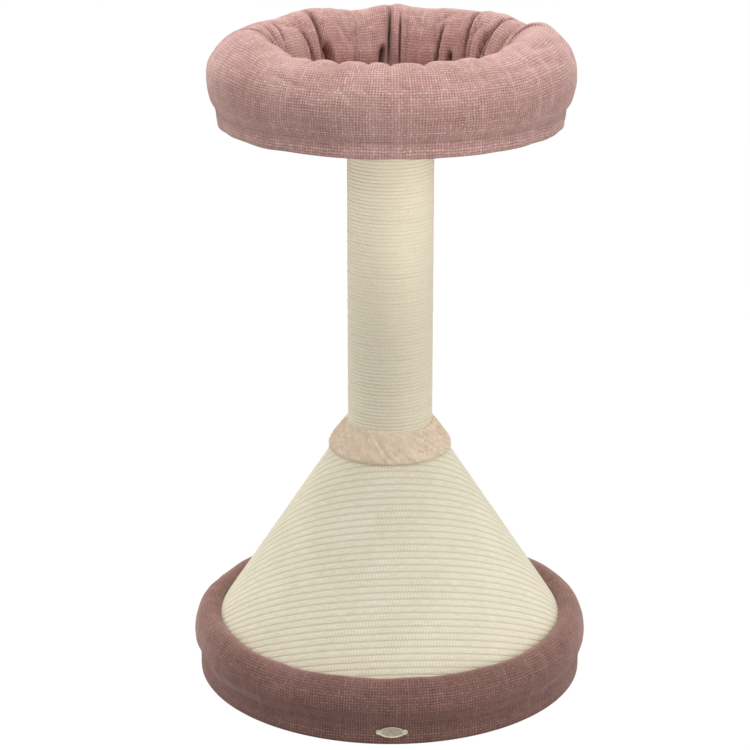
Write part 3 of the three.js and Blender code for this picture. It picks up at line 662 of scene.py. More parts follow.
def press_folds(points, share):
    """Presses the folds into the ring. share is how far along the section each point lies. Also
    gives how much shade is painted at each point, from 0 to 1, most deep in the folds and pleats."""
    angle = np.degrees(azimuths(points))
    depth, shift, fold_shade_share = (np.zeros(len(points)) for _ in range(3))
    for place, lean, deep, start, left, right, tuck in FOLDS:
        off = wrapped(angle - place - lean * (share - 0.5) / 0.5)
        side = np.where(off < 0, left, right)
        near = np.clip(1 - np.abs(off) / side, 0, 1)
        valley = 1 - np.sqrt(1 - near ** 2)
        grown = eased(part_of(share - start, FOLD_RUN) * part_of(1 - share, FOOT_RUN))
        depth = np.maximum(depth, deep * MM * grown * valley)
        shift += tuck * grown * near ** 2
        # painted shade along the line of the fold, more for a deeper fold
        fold_shade_share = np.maximum(fold_shade_share, grown * near ** 5 * deep / DARKEST)
    for upper, start, lower, end, deep, half_width in PLEATS:
        part = (share - start) / (end - start)
        middle = upper + wrapped(lower - upper) * np.clip(part, 0, 1)
        near = np.clip(1 - np.abs(wrapped(angle - middle)) / half_width, 0, 1)
        grown = part_of(part, PLEAT_END) * part_of(PLEAT_TAIL - part, PLEAT_END)
        depth += deep * MM * grown * near ** 1.4
        # painted shade along the pleat
        fold_shade_share = np.maximum(fold_shade_share, grown * near)
    out = np.stack([radii(points), points[:, 2]], axis=1) - section_core
    reach = np.linalg.norm(out, axis=1)
    inner = part_of(share - PUFF_START, PUFF_RUN) * part_of(1 - share, FOOT_RUN)
    out *= (1 + (PUFF * inner - depth) / reach)[:, None]
    radius, height = (section_core + out).T
    return round_post(np.radians(angle + shift), radius, height), fold_shade_share


# %% [markdown]
# Between the deep folds the cloth has short, shallow creases that begin and end on the surface.
# Each is given by its two ends and is pressed in along the line between them.

# %% Creases of the bolster
# each end's azimuth in degrees and place along the section, then depth and half width in mm
CREASES = [
    (59, 0.46, 86, 0.39, 2.6, 8), (44, 0.385, 62, 0.36, 1.8, 8), (66, 0.33, 84, 0.30, 1.4, 9),
    (-40, 0.38, -30, 0.33, 1.6, 8), (-78, 0.44, -58, 0.40, 1.2, 10), (-98, 0.34, -74, 0.31, 1.2, 9),
    (20, 0.35, 30, 0.37, 1.2, 8), (-16, 0.34, -12, 0.28, 1.2, 8), (3, 0.36, 7, 0.29, 1.0, 7),
    (-171, 0.66, -160, 0.74, 2.0, 7), (150, 0.60, 157, 0.66, 2.2, 7), (165, 0.70, 170, 0.62, 2.0, 7),
    (-121, 0.60, -136, 0.66, 2.4, 7), (-108, 0.52, -118, 0.58, 2.0, 7), (114, 0.56, 104, 0.64, 2.2, 7),
    (131, 0.66, 137, 0.73, 2.4, 6), (-152, 0.52, -146, 0.60, 1.8, 7), (120, 0.34, 140, 0.31, 1.4, 9),
    (-140, 0.32, -118, 0.30, 1.4, 9), (168, 0.33, -170, 0.31, 1.2, 9), (-154, 0.68, -158, 0.78, 2.4, 8),
]


def press_creases(points, normals, share):
    angle = np.degrees(azimuths(points))
    push = np.zeros(len(points))
    for start, start_share, end, end_share, deep, half_width in CREASES:
        half_turn = wrapped(end - start) / 2
        turn = wrapped(angle - (start + half_turn))
        here = np.stack([np.radians(turn) * section_core[0], share * section_length], axis=1)
        first = np.array([-math.radians(half_turn) * section_core[0], start_share * section_length])
        line = np.array([-first[0], end_share * section_length]) - first
        part = np.clip((here - first) @ line / (line @ line), 0, 1)
        gap = np.linalg.norm(here - first - part[:, None] * line, axis=1)
        near = np.clip(1 - gap / (half_width * MM), 0, 1)
        push = np.maximum(push, deep * MM * near ** 2)
    return points - normals * push[:, None]


def lumped(points, normals, size, height, freedom):
    """Pushes points out and in by a soft noise with lumps of a size, where they are free to move:
    freedom is 0 to 1 for each point."""
    push = np.array([noise.noise(Vector(p / size)) for p in points]) * height * freedom
    return points + normals * push[:, None]


def vertex_normals(piece):
    return vectors(piece.data.vertex_normals, "vector")


# %% Bolster
bolster = spun("bolster", section, steps=720)
lay_cloth(bolster, section, bolster_high.x, flat_under=False)
ring_points = points_of(bolster)
ring_normals = vertex_normals(bolster)
share = place_on(ring_points, section) / section_length
free = np.sin(np.pi * share)
ring_points = press_creases(ring_points, ring_normals, share)
ring_points = lumped(ring_points, ring_normals, 48 * MM, 2.4 * MM, free)
ring_points = lumped(ring_points, ring_normals, 15 * MM, 0.9 * MM, free)
ring_points, painted_fold_shade = press_folds(ring_points, share)
move_points(bolster, settle(ring_points))
# the painted shade is kept on the mesh for the cloth's material
fold_shade_share = bolster.data.attributes.new("painted_fold_shade", "FLOAT", "POINT")
fold_shade_share.data.foreach_set("value", painted_fold_shade.astype(np.float32))
dress(bolster, bed_cloth)
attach(bolster, "stand")
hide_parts("bed_bolster")
print("bolster:", len(bolster.data.polygons), "faces,", len(FOLDS), "folds")

# %% [markdown]
# ## The cover of the bed's board
# Below the bolster the same cloth is drawn tightly over the edge of the board, over the whole of
# its underside, and turned in on top, where the bolster hides its hem. It is spun from its real
# outline, with a soft lower edge, and the outer foot of the bolster laps a little over its top.

# %% Bed cover
BOARD_CLEAR = 0.3 * MM
bed_outline = smooth_line([
    (168 * MM, bed_low.z), (175.4 * MM, bed_low.z + 0.1 * MM),
    (177.4 * MM, bed_low.z + 2.2 * MM), (178.3 * MM, bed_low.z + 8 * MM),
    (bed_high.x, bed_low.z + 14 * MM), (bed_high.x - 0.3 * MM, bed_high.z - 0.9 * MM),
    (bed_high.x - 1.4 * MM, bed_high.z),
], 1.6 * MM)
hem_radius = cushion_high.x + 1.5 * MM  # the hem ends under the inner foot of the bolster
board_top = bed_board_high.z + BOARD_CLEAR
board_edge = bed_board_high.x + BOARD_CLEAR
board_under = bed_board_low.z - BOARD_CLEAR
hole_radius = 4.6 * MM
bed_outline += [
    (hem_radius, bed_high.z), (hem_radius, board_top), (board_edge, board_top),
    (board_edge, board_under), (hole_radius, board_under),
]
bed_outline += [(r * MM, bed_low.z) for r in (hole_radius / MM, 40, 80, 120, 150)]
bed_cover = spun("bed_board_cover", bed_outline, steps=240)
lay_cloth(bed_cover, bed_outline, bolster_high.x)
edge_points = points_of(bed_cover)
outside = part_of(radii(edge_points) - board_edge, 4 * MM)
outside *= part_of(bed_high.z - 1.5 * MM - edge_points[:, 2], 6 * MM)
move_points(bed_cover, lumped(edge_points, vertex_normals(bed_cover), 26 * MM, 1.8 * MM, outside))
dress(bed_cover, bed_cloth)
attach(bed_cover, "stand")
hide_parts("bed_cover")

# %% [markdown]
# ## The loose cushion
# A round pad lies inside the bolster. Two discs of cloth are sewn together round a cord (piping),
# so it is crowned in the middle and drawn in at the seam. The pad is made as such pads are: a flat
# round slab of cloth, held at its seam and blown up a little by the cloth simulation, which puts
# the small puckers along the seam. The piping is a thin ring, added after it.

# %% Cushion
cushion_radius = cushion_high.x
seam_height = cushion_low.z + 8.5 * MM
CUSHION_CAP = 6 * MM                   # how far the simulation may move a point


def inflate(piece, held, pressure, cap, frames=20):
    """Blows a closed skin up with the cloth simulation, without gravity. The points in held stay
    where they are, and no other point moves further than cap."""
    start = points_of(piece)
    group = piece.vertex_groups.new(name="held")
    group.add([int(i) for i in held], 1.0, "REPLACE")
    modifier = piece.modifiers.new("cloth", "CLOTH")
    modifier.settings.vertex_group_mass = "held"
    modifier.settings.use_pressure = True
    modifier.settings.uniform_pressure_force = pressure
    modifier.settings.tension_stiffness = 12
    modifier.settings.bending_stiffness = 0.4
    modifier.settings.effector_weights.gravity = 0
    modifier.point_cache.frame_start = 1
    modifier.point_cache.frame_end = frames
    for number in range(1, frames + 1):
        bpy.context.scene.frame_set(number)
    select_only(piece)
    bpy.ops.object.modifier_apply(modifier="cloth")
    bpy.context.scene.frame_set(1)
    piece.vertex_groups.clear()
    moved = points_of(piece) - start
    far = np.linalg.norm(moved, axis=1)
    keep = np.minimum(1, cap / np.maximum(far, 1e-9))
    move_points(piece, start + moved * keep[:, None])
    print("%s: blown up by %.1f mm at most" % (piece.name, 1000 * min(far.max(), cap)))


cushion_outline = [(0, cushion_low.z + 1 * MM)]
cushion_outline += [(r * MM, cushion_low.z + 1 * MM) for r in range(8, 100, 6)]
cushion_outline += [(103.5 * MM, cushion_low.z + 3.5 * MM), (107.6 * MM, seam_height)]
cushion_outline += [(104 * MM, seam_height + 3.6 * MM)]
cushion_outline += [(r * MM, cushion_high.z - 5 * MM) for r in range(98, 0, -6)]
cushion_outline += [(0, cushion_high.z - 4.5 * MM)]
cushion = spun("cushion", cushion_outline, steps=96)
lay_cloth(cushion, cushion_outline, cushion_radius)
pad = points_of(cushion)
held = np.flatnonzero((radii(pad) > 106 * MM) | (pad[:, 2] < cushion_low.z + 1.5 * MM))
inflate(cushion, held, pressure=4.0, cap=CUSHION_CAP)
modified(cushion, "SUBSURF", levels=1, render_levels=1)
dress(cushion, bed_cloth)
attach(cushion, "cushion")
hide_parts("bed_cushion")

PIPING_RADIUS = 2.1 * MM
PIPING_SIDES = 10
turned = np.linspace(0, math.tau, PIPING_SIDES, endpoint=False)
piping_outline = [(cushion_radius - 2.2 * MM + PIPING_RADIUS * math.cos(a),
                   seam_height + PIPING_RADIUS * math.sin(a)) for a in turned]
piping = spun("cushion_piping", piping_outline, steps=180)
lay_cloth(piping, piping_outline, cushion_radius, flat_under=False)
dress(piping, bed_cloth)
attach(piping, "cushion")

# %% [markdown]
# ## The base
# One piece of cloth covers the whole base. It is turned in under the board, runs up over its
# padded edge, and is stuffed above it into a thick roll that lies against the foot of the cone. A
# faint crease shows where the stuffing starts. One closed outline holds all of this, down the
# inside of the roll and back round the board, so the roll and the cover stay one surface.

# %% Base roll and cover
base_clear = 0.6 * MM * cone_stretch
rim_ridge = rim_high.z
lip_height = rim_ridge - 6.0 * MM
base_outline = smooth_line([
    *in_mm([(200.0, 0.2), (206.3, 0.2), (207.4, 1.6), (207.2, 10), (207.3, 18), (207.9, 23.5),
            (210.0, 28), (212.8, 35), (213.4, 42), (212.2, 51), (208.4, 60), (203.0, 65.6)]),
    (196.8 * MM, rim_ridge), (191.0 * MM, rim_ridge - 1.3 * MM),
    (cone_radius(lip_height) + base_clear, lip_height),
], 1.9 * MM)
roll_foot = mat_low.z + 0.5 * MM
base_outline += [
    (cone_radius(z) + base_clear, z)
    for z in np.linspace(lip_height, roll_foot, 6)[1:]
]
HEM_WIDTH = 28 * MM                    # of cloth turned in under the base board
base_edge = board_high.x + BOARD_CLEAR
foot_edge = foot_high.x + BOARD_CLEAR
cover_top = base_high.z
base_outline += [
    (mat_high.x + base_clear, cover_top + 0.5 * MM), (foot_edge, cover_top),
    (foot_edge, board_high.z + BOARD_CLEAR), (base_edge, board_high.z + BOARD_CLEAR),
    (base_edge, board_low.z - BOARD_CLEAR), (board_high.x - HEM_WIDTH, board_low.z - BOARD_CLEAR),
    (board_high.x - HEM_WIDTH, 0.5 * MM),
]
base = spun("base_roll_and_cover", base_outline, steps=420)
lay_cloth(base, base_outline, rim_high.x)
base_points = points_of(base)
above_cone = radii(base_points) - cone_radius(np.maximum(base_points[:, 2], mat_low.z))
soft = part_of(base_points[:, 2] - 6 * MM, 20 * MM) * part_of(above_cone, 8 * MM)
base_points = lumped(base_points, vertex_normals(base), 60 * MM, 2.2 * MM, soft)
base_points = lumped(base_points, vertex_normals(base), 17 * MM, 0.5 * MM, soft)
move_points(base, base_points)
dress(base, base_cloth)
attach(base, "stand")
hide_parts("base_rim", "base_cover")

# %% [markdown]
# ### Staples in the hem
# Underneath, the cloth is stapled to the board. One staple's crown is modelled as a short bar with
# rounded edges, and copies of it stand all round the hem, a little uneven, as a hand sets them.

# %% Staples
def copies(name, source, places):
    """One mesh that holds a copy of the source at each place, a matrix. The source is removed."""
    vertices = points_of(source)
    faces = [list(face.vertices) for face in source.data.polygons]
    every = [vertices @ np.array(m)[:3, :3].T + np.array(m)[:3, 3] for m in places]
    count = len(vertices)
    all_faces = [[i + n * count for i in face] for n in range(len(places)) for face in faces]
    mesh = bpy.data.meshes.new(name)
    mesh.from_pydata(np.vstack(every).tolist(), [], all_faces)
    mesh.update()
    piece = bpy.data.objects.new(name, mesh)
    bpy.context.scene.collection.objects.link(piece)
    bpy.data.objects.remove(source)
    print("%s: %d copies" % (name, len(places)))
    return piece


chance = random.Random(5)
bpy.ops.object.select_all(action="DESELECT")
bpy.ops.mesh.primitive_cube_add(size=1)
staple = bpy.context.object
staple.scale = (10 * MM, 1.1 * MM, 0.5 * MM)
bpy.ops.object.transform_apply(location=True, rotation=True, scale=True)
modified(staple, "BEVEL", width=0.2 * MM, segments=2)
STAPLES = 56
STAPLE_REACH = 186 * MM                # from the axis, near the inner edge of the hem
staple_places = []
for number in range(STAPLES):
    angle = math.tau * (number + chance.uniform(-0.15, 0.15)) / STAPLES
    spot = Matrix.Rotation(angle, 4, "Z") @ Matrix.Translation((0, -STAPLE_REACH, 0.4 * MM))
    staple_places.append(spot @ Matrix.Rotation(chance.uniform(-0.25, 0.25), 4, "Z"))
staples = dress(copies("hem_staples", staple, staple_places), steel_wire)
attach(staples, "stand")

# %% [markdown]
# ## The sisal mat on the cone
# The mat is a flat ribbed rug, cut to the flat pattern of a cone and wrapped round it, with its
# seam at the back. That is why its ribs aren't rings: they are straight on the flat rug, and on
# the cone they sag to one side. The mat is made in the same way. Half of it is drawn flat, its
# ribs raised, and cut along the seam. It is mirrored, rolled up on the cone, and trimmed level at
# the foot and at the top. Each rib takes six rows of faces, set close together at the grooves,
# where the surface bends most.

# %% Mat
MAT_THICKNESS = 4.2 * MM
RIB_HEIGHT = 0.65 * MM
MAT_TURN = math.radians(4)             # where the ribs sag lowest, from the front to the right
ROWS_IN_RIB = (0.0, 0.08, 0.2, 0.5, 0.8, 0.92)
sharpness = cone_slope / cone_stretch  # the sine of the cone's half angle
apex = mat_low.z + mat_high.x / cone_slope
slant_foot = mat_high.x / sharpness
half_sweep = math.pi * sharpness       # of the flat pattern, on each side of its middle line
rows_down = math.ceil(slant_foot / RIB_PITCH) + 1
rows_up = math.ceil(-slant_foot * math.cos(half_sweep) / RIB_PITCH) + 1
rib_rows = [(n + part) * RIB_PITCH for n in range(-rows_up, rows_down) for part in ROWS_IN_RIB]
cell = 6 * MM                          # the length of a face along the ribs
columns = math.ceil(slant_foot * 1.02 / cell)
SEAM_LAP = 0.2 * MM                    # the cut passes this far beside the apex, so the edges meet

bpy.ops.object.select_all(action="DESELECT")
bpy.ops.mesh.primitive_grid_add(x_subdivisions=columns, y_subdivisions=len(rib_rows) - 1, size=1,
                                location=(0, 0, 0))
mat = bpy.context.object
mat.name = mat.data.name = "sisal_mat"
grid = points_of(mat)
column = np.rint((grid[:, 0] + 0.5) * columns)
row = np.rint((grid[:, 1] + 0.5) * (len(rib_rows) - 1)).astype(int)
crown = np.abs(np.sin(np.pi * np.array(rib_rows)[row] / RIB_PITCH)) ** 0.4
move_points(mat, np.stack([column * cell, np.array(rib_rows)[row], crown * RIB_HEIGHT], axis=1))
bpy.ops.object.mode_set(mode="EDIT")
bpy.ops.mesh.select_all(action="SELECT")
seam_normal = (math.cos(half_sweep), -math.sin(half_sweep), 0)
bpy.ops.mesh.bisect(plane_co=(-SEAM_LAP, 0, 0), plane_no=seam_normal, clear_outer=True)
bpy.ops.object.mode_set(mode="OBJECT")
print("half of the rug:", len(mat.data.polygons), "faces")

# %% Roll the mat up
modified(mat, "MIRROR", use_axis=(True, False, False), merge_threshold=0.01 * MM)
flat = points_of(mat)
write_uv(mat, "cloth", flat[corners_of(mat)][:, :2])
slant = radii(flat)
turned = MAT_TURN + np.arctan2(flat[:, 0], flat[:, 1]) / sharpness
sunk = flat[:, 2] - RIB_HEIGHT
level = math.sqrt(1 - sharpness ** 2)
radius = slant * sharpness + sunk * level
height = apex - slant * level + sunk * sharpness
move_points(mat, round_post(turned, radius, height))
select_only(mat)
bpy.ops.object.mode_set(mode="EDIT")
for plane, below in ((mat_low.z, True), (mat_high.z, False)):
    bpy.ops.mesh.select_all(action="SELECT")
    bpy.ops.mesh.bisect(plane_co=(0, 0, plane), plane_no=(0, 0, 1), clear_inner=below,
                        clear_outer=not below)
bpy.ops.mesh.select_all(action="SELECT")
bpy.ops.mesh.flip_normals()
bpy.ops.object.mode_set(mode="OBJECT")
modified(mat, "SOLIDIFY", thickness=MAT_THICKNESS, offset=-1)
bpy.ops.object.shade_smooth()
dress(mat, mat_sisal)
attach(mat, "stand")
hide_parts("cone_mat")
print("sisal mat:", len(mat.data.polygons), "faces")

# %% [markdown]
# ## The rope on the post
# One length of rope is wound up the post, each turn tight against the last. That is a helix, and
# the Screw modifier makes one from a small circle: it turns the circle round the post and lifts it
# by one rope's width in each turn. Real rope isn't even, so its thickness wanders a little, and
# each turn is pressed somewhat square between its neighbours.

# %% Rope
ROPE_SIDES = 12
ROPE_PRESSED = 0.3                     # 1 leaves the section round, less presses it towards a square
STEPS_IN_TURN = 80
helix_radius = rope_high.x - ROPE_DIAMETER / 2
rise = rope_high.z - rope_low.z - ROPE_DIAMETER
turns = rise / ROPE_DIAMETER
bpy.ops.object.select_all(action="DESELECT")
bpy.ops.mesh.primitive_circle_add(
    vertices=ROPE_SIDES, radius=ROPE_DIAMETER / 2, rotation=(math.pi / 2, 0, 0),
    location=(helix_radius, 0, rope_low.z + ROPE_DIAMETER / 2))
rope = bpy.context.object
rope.name = rope.data.name = "rope_winding"
bpy.ops.object.transform_apply(location=True, rotation=True, scale=True)
rings = round(turns * STEPS_IN_TURN)
modified(rope, "SCREW", angle=math.tau * turns, screw_offset=rise, iterations=1, steps=rings,
         render_steps=rings, use_merge_vertices=False, use_smooth_shade=True)
wound = points_of(rope).reshape(-1, ROPE_SIDES, 3)
middle = wound.mean(axis=1, keepdims=True)
swell = np.array([noise.noise(Vector((n * 0.06, 0.5, 0))) for n in range(len(wound))])
sway = np.array([noise.noise(Vector((n * 0.045, 7.5, 0))) for n in range(len(wound))])
out = (wound - middle) / (ROPE_DIAMETER / 2)
span = np.hypot(out[:, :, 0], out[:, :, 1])
squared = np.maximum(span, 1e-9) ** (ROPE_PRESSED - 1)
out = np.stack([out[:, :, 0] * squared, out[:, :, 1] * squared,
                np.sign(out[:, :, 2]) * np.abs(out[:, :, 2]) ** ROPE_PRESSED], axis=2)
wound = middle + out * (ROPE_DIAMETER / 2) * (1 + 0.04 * swell)[:, None, None]
wound[:, :, 2] += 0.12 * MM * sway[:, None]
wound[:, :, :2] *= 1 + 0.003 * swell[:, None, None]
move_points(rope, wound.reshape(-1, 3))
corner = corners_of(rope)
run = (corner // ROPE_SIDES) * (math.tau * helix_radius / STEPS_IN_TURN)
about = (corner % ROPE_SIDES).reshape(-1, 4)
about = np.where((about.max(axis=1) - about.min(axis=1) > 1)[:, None] & (about == 0),
                 ROPE_SIDES, about)
write_uv(rope, "rope", np.stack([run, about.ravel() / ROPE_SIDES], axis=1))
bpy.ops.object.mode_set(mode="EDIT")
bpy.ops.mesh.select_all(action="SELECT")
bpy.ops.mesh.fill_holes(sides=ROPE_SIDES)
bpy.ops.mesh.normals_make_consistent(inside=False)
bpy.ops.object.mode_set(mode="OBJECT")
dress(rope, rope_sisal)
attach(rope, "stand")
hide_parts("post_rope")
print("rope: %.1f turns, %.1f m of rope" % (turns, turns * math.tau * helix_radius))

# %% [markdown]
# ## The plush collar
# A strip of short pile fabric is tied round the joint of post and cone. It bunches up in soft
# slanting folds. The band is spun from an outline that lies on the cone and closes on the rope,
# pressed into folds by a noise that leans, and then covered in pile: one tuft, a thin three-sided
# spike, is modelled once and copied all over the band, each copy leaning its own way.

# %% Collar
COLLAR_FOLDS = 11                      # cells of the noise in a radian round the post
COLLAR_LEAN = 0.5                      # radians that a fold turns from the foot to the top
COLLAR_DEPTH = 1.5 * MM
collar_clear = 0.6 * MM
collar_inside = rope_high.x + 0.3 * MM
collar_foot = cone_radius(collar_low.z)
collar_outline = smooth_line([
    (collar_foot + 1.0 * MM, collar_low.z + 0.2 * MM),
    (collar_foot + 2.2 * MM, collar_low.z + 1.6 * MM),
    (collar_foot + 1.6 * MM, collar_low.z + 4.8 * MM),
    *in_mm([(61.3, 9.2), (57.8, 14.6), (53.4, 20.4), (49.2, 25.4)], collar_low.z),
    (collar_inside + 1.1 * MM, collar_high.z - 0.6 * MM),
    (collar_inside, collar_high.z - 1.0 * MM),
], 1.4 * MM)
collar_outline += [
    (collar_inside, mat_high.z + 0.8 * MM),
    (cone_radius(mat_high.z) + collar_clear, mat_high.z + 0.8 * MM),
    (collar_foot + collar_clear, collar_low.z),
]
collar = spun("plush_collar", collar_outline, steps=220)
collar_points = points_of(collar)
collar_normals = vertex_normals(collar)
angle = azimuths(collar_points)
rise = (collar_points[:, 2] - collar_low.z) / (collar_high.z - collar_low.z)



def clear_of_post(points):
    """How far points of the collar stand out from the rope or the mat under them."""
    return radii(points) - np.maximum(collar_inside, cone_radius(points[:, 2]))


freedom = part_of(clear_of_post(collar_points), 3 * MM)
leaning = np.stack([COLLAR_FOLDS * (angle + COLLAR_LEAN * rise), 1.4 * rise, 0 * rise], axis=1)
soft_folds = np.array([noise.noise(Vector(p)) for p in leaning])
collar_points += collar_normals * (COLLAR_DEPTH * soft_folds * freedom)[:, None]
move_points(collar, collar_points)
dress(collar, pile)

# %% Pile of the collar
def tuft(name, length, radius):
    """A thin three-sided spike along +Z."""
    bpy.ops.object.select_all(action="DESELECT")
    bpy.ops.mesh.primitive_cone_add(vertices=3, radius1=radius, radius2=0, depth=length,
                                    location=(0, 0, length / 2))
    spike = bpy.context.object
    spike.name = name
    bpy.ops.object.transform_apply(location=True, rotation=True, scale=True)
    return spike


def facing(normal):
    """The rotation that turns +Z to a direction."""
    return Vector(normal).to_track_quat("Z", "Y").to_matrix().to_4x4()


TUFTS = 24000
outer_side = clear_of_post(vectors(collar.data.polygons, "center")) > 1 * MM
collar_faces = [face for face, outer in zip(collar.data.polygons, outer_side) if outer]
collar_faces.sort(key=lambda face: sorted(face.vertices))   # spin numbers them anew in each run
weights = [face.area for face in collar_faces]
pile_places = []
for face in chance.choices(collar_faces, weights, k=TUFTS):
    corners = [collar.data.vertices[i].co for i in sorted(face.vertices)]
    spread = [chance.random() + 0.05 for _ in corners]
    spot = sum((c * w for c, w in zip(corners, spread)), Vector()) / sum(spread)
    lean = Vector([chance.uniform(-1, 1) for _ in range(3)]) + Vector((0, 0, -0.4))
    size = Matrix.Scale(chance.uniform(0.6, 1.2), 4)
    pile_places.append(Matrix.Translation(spot) @ facing(face.normal + 0.75 * lean) @ size)
collar_pile = copies("plush_collar_pile", tuft("tuft", 2.4 * MM, 0.13 * MM), pile_places)
dress(collar_pile, pile)
for piece in (collar, collar_pile):
    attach(piece, "stand")
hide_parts("collar")

# %% [markdown]
# ## Loose fibres
# New sisal is hairy: fine fibres stand off the rope and the mat, most of all along the outline.
# One fibre is a long thin spike, cut into short lengths in edit mode and bent a little, and copies
# of it are strewn over the post and the cone.

# %% Fibres
FIBRE_LENGTH = 9 * MM
FIBRE_BEND = 0.30                      # how far its tip is bent aside, as a share of its length
FIBRES_ON_POST, FIBRES_ON_CONE = 420, 700
fibre = tuft("fibre", FIBRE_LENGTH, 0.09 * MM)
bpy.ops.object.mode_set(mode="EDIT")
bpy.ops.mesh.select_all(action="SELECT")
bpy.ops.mesh.subdivide(number_cuts=3)
bpy.ops.object.mode_set(mode="OBJECT")
bent = points_of(fibre)
bent[:, 0] += FIBRE_BEND * FIBRE_LENGTH * (bent[:, 2] / FIBRE_LENGTH) ** 2
move_points(fibre, bent)


def strewn(count, spot_of):
    """Places for loose fibres: spot_of gives a point and its outward direction."""
    places = []
    for _ in range(count):
        spot, out = spot_of()
        round_it = Vector((-out.y, out.x, 0)) * chance.choice((-1, 1))
        lean = round_it * chance.uniform(0.5, 2.0) + Vector((0, 0, chance.uniform(-1.2, 1.2)))
        size = Matrix.Scale(chance.uniform(0.3, 1.1), 4)
        spin = Matrix.Rotation(chance.uniform(0, math.tau), 4, "Z")
        places.append(Matrix.Translation(spot) @ facing(out * 0.6 + lean) @ spin @ size)
    return places


def outward(angle):
    """The level direction away from the post, at an angle from the front."""
    return Vector((math.sin(angle), -math.cos(angle), 0))


def spot_on_post():
    out = outward(chance.uniform(0, math.tau))
    height = chance.uniform(collar_high.z, rope_high.z - 6 * MM)
    return out * (rope_high.x - 0.3 * MM) + Vector((0, 0, height)), out


def spot_on_cone():
    out = outward(chance.uniform(0, math.tau))
    share = math.sqrt(chance.uniform(0.08, 1))
    height = mat_high.z - share * (mat_high.z - rim_high.z)
    spot = out * (cone_radius(height) - 0.6 * MM) + Vector((0, 0, height))
    return spot, (out + Vector((0, 0, cone_slope))).normalized()


fibre_places = strewn(FIBRES_ON_POST, spot_on_post) + strewn(FIBRES_ON_CONE, spot_on_cone)
fibres = dress(copies("loose_fibres", fibre, fibre_places), speckled(
    "single_sisal_fibre", "#cfc39f", "#efe7cf", (300, 300, 300), 0.7))
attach(fibres, "stand")

# %% [markdown]
# ## The badge
# A small oval plate is pinned to the front edge of the base, with a raised rim, a sunk middle and
# an eye at each end. The middle stays bare. The plate starts as a cylinder, drawn out to an oval,
# and its front face is inset and pushed in.

# %% Badge
badge_low, badge_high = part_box("badge")
PLATE_WIDTH, PLATE_HEIGHT, PLATE_THICKNESS = 27 * MM, 12.4 * MM, 1.4 * MM
EYE_RADIUS = 3.2 * MM
BADGE_REACH = 207.4 * MM               # from the axis to the back of the plate
BADGE_LEAN = math.radians(3.1)         # it follows the slope of the cover
bpy.ops.object.select_all(action="DESELECT")
bpy.ops.mesh.primitive_cylinder_add(vertices=64, radius=0.5, depth=PLATE_THICKNESS,
                                    location=(0, 0, PLATE_THICKNESS / 2))
badge = bpy.context.object
badge.name = badge.data.name = "oval_badge"
badge.scale = (PLATE_WIDTH, PLATE_HEIGHT, 1)
bpy.ops.object.transform_apply(location=True, rotation=True, scale=True)
badge.data.materials.append(nickel)
badge.data.materials.append(hollow)
bpy.ops.object.mode_set(mode="EDIT")
bpy.ops.mesh.select_mode(type="FACE")
bpy.ops.mesh.select_all(action="DESELECT")
bpy.ops.object.mode_set(mode="OBJECT")
for face in badge.data.polygons:
    face.select = face.normal.z > 0.9
bpy.ops.object.mode_set(mode="EDIT")
bpy.ops.mesh.inset(thickness=1.0 * MM)
bpy.ops.mesh.inset(thickness=0.3 * MM, depth=-0.55 * MM)
bpy.context.object.active_material_index = 1
bpy.ops.object.material_slot_assign()
bpy.ops.object.mode_set(mode="OBJECT")
modified(badge, "BEVEL", width=0.2 * MM, segments=2, limit_method="ANGLE")
eyes = []
for side in (-1, 1):
    bpy.ops.mesh.primitive_torus_add(
        location=(side * ((badge_high.x - badge_low.x) / 2 - EYE_RADIUS), 0, 0.7 * MM),
        major_radius=2.2 * MM, minor_radius=0.85 * MM, major_segments=32, minor_segments=10)
    eye = bpy.context.object
    eye.scale.z = 0.8
    eye.data.materials.append(nickel)
    bpy.ops.object.transform_apply(location=True, rotation=True, scale=True)
    eyes.append(eye)
for part in (*eyes, badge):
    part.select_set(True)
bpy.context.view_layer.objects.active = badge
bpy.ops.object.join()
badge_middle = (badge_low + badge_high) / 2
badge_turn = math.atan2(badge_middle.x, -badge_middle.y)
badge_back = outward(badge_turn) * BADGE_REACH + Vector((0, 0, badge_middle.z))
badge.data.transform(
    Matrix.Translation(badge_back)
    @ Matrix.Rotation(badge_turn, 4, "Z") @ Matrix.Rotation(math.pi / 2 + BADGE_LEAN, 4, "X"))
bpy.ops.object.shade_smooth_by_angle(angle=math.radians(40))
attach(badge, "stand")
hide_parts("badge")

# %% [markdown]
# ## The parts that keep their solids
# Boards, tubes, plugs and screws are exact already, so they only get their materials.

# %% Materials of the solid parts
FINISHES = {
    chipboard: ("base_board", "cone_foot_board", "cone_top_board", "bed_board", "core_plug_lower",
                "core_plug_upper", "post_plug_lower", "post_plug_upper"),
    hardboard: ("cone_shell",),
    paperboard: ("core_tube", "post_tube"),
    nickel: ("badge_pin_left", "badge_pin_right"),
}
plain_parts = {name: finish for finish, names in FINISHES.items() for name in names}
for name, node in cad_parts.items():
    if not node.hide_render:
        dress(node, plain_parts.get(name, zinc))
        print("%-20s %s" % (name, node.data.materials[0].name))

# %% [markdown]
# ## Floor, light and background
# The photograph has a white background and almost no shadow. The floor is plain and pale, and it
# glows to the camera, so that it meets the white background, but it still takes the soft shadow of
# the base. The light comes from above and from both sides, and little of it from the front: a wide
# lamp in front to the right models the folds, one stands to the left, one above, one behind, and
# the sky fills in. The bed shades the top of the post, so a narrow spot low in front lifts it.

# %% Stage
def white_to_camera(tree):
    """1 for a ray from the camera, or one seen in a gloss or through glass."""
    rays = add(tree, "LightPath")
    shiny = add(tree, "Math MAXIMUM", [rays.outputs["Is Glossy Ray"],
                                       rays.outputs["Is Transmission Ray"]])
    return add(tree, "Math MAXIMUM", [rays.outputs["Is Camera Ray"], shiny])


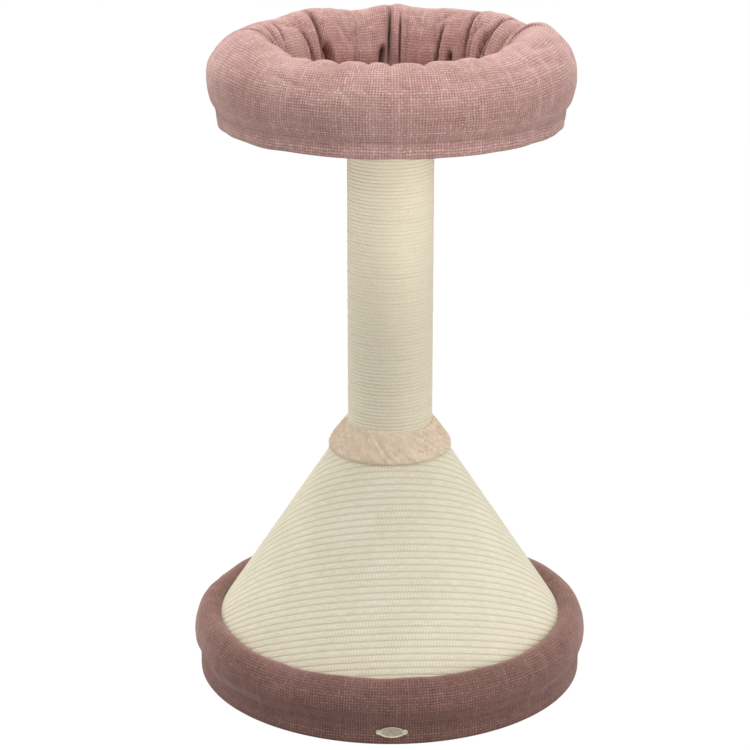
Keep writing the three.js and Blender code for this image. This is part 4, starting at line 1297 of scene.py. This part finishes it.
bpy.ops.mesh.primitive_plane_add(size=12, location=(0, 0, -0.2 * MM))
floor = bpy.context.object
floor.name = "floor"
floor_paint, tree, surface = new_material("pale_floor")
feed(surface, {"Base Color": linear("#a6a6a6"), "Roughness": 1.0, "Specular IOR Level": 0.0})
FLOOR_GLOW = 1.09
GLOW_SHARE = 0.9                       # the rest is the floor's own paint, which takes the shadow
glow = add(tree, "Emission", {"Strength": FLOOR_GLOW})
share = add(tree, "Math MULTIPLY", [white_to_camera(tree), GLOW_SHARE])
seen = add(tree, "MixShader", [share, surface, glow])
feed(tree.nodes["Material Output"], {"Surface": seen})
dress(floor, floor_paint)

world = bpy.data.worlds.new("studio")
bpy.context.scene.world = world
world.use_nodes = True
tree = world.node_tree
sky = tree.nodes["Background"]
feed(sky, {"Strength": 0.52, "Color": (1, 1, 1, 1)})
white = add(tree, "Background", {"Strength": 1.0, "Color": (1, 1, 1, 1)})
seen = add(tree, "MixShader", [white_to_camera(tree), sky, white])
feed(tree.nodes["World Output"], {"Surface": seen})

LAMPS = (
    ("right", (2.1, -1.3, 0.9), 1.8, 23),
    ("left_side", (-2.5, 0.2, 1.0), 1.8, 20),
    ("top", (0.0, -0.3, 2.7), 2.2, 37),
    ("back", (0.0, 1.6, 2.2), 1.8, 21),
)


def aimed(lamp, target):
    """Turns a lamp towards a point."""
    aim = Vector(target) - lamp.location
    lamp.rotation_euler = aim.to_track_quat("-Z", "Y").to_euler()


for name, place, size, power in LAMPS:
    bpy.ops.object.light_add(type="AREA", location=place)
    lamp = bpy.context.object
    lamp.name = name
    lamp.data.size = size
    lamp.data.energy = power
    aimed(lamp, (0, 0, 0.4))
bpy.ops.object.light_add(type="SPOT", location=(0.25, -2.2, 0.12))
spot = bpy.context.object
spot.name = "post_spot"
spot.data.energy = 150
spot.data.spot_size = math.radians(5.6)
spot.data.spot_blend = 1.0
spot.data.shadow_soft_size = 0.12
aimed(spot, (0, 0, 0.555))
bpy.context.scene.view_settings.view_transform = "Standard"

# %% [markdown]
# ## Finish

# %% Finish
bpy.context.view_layer.update()
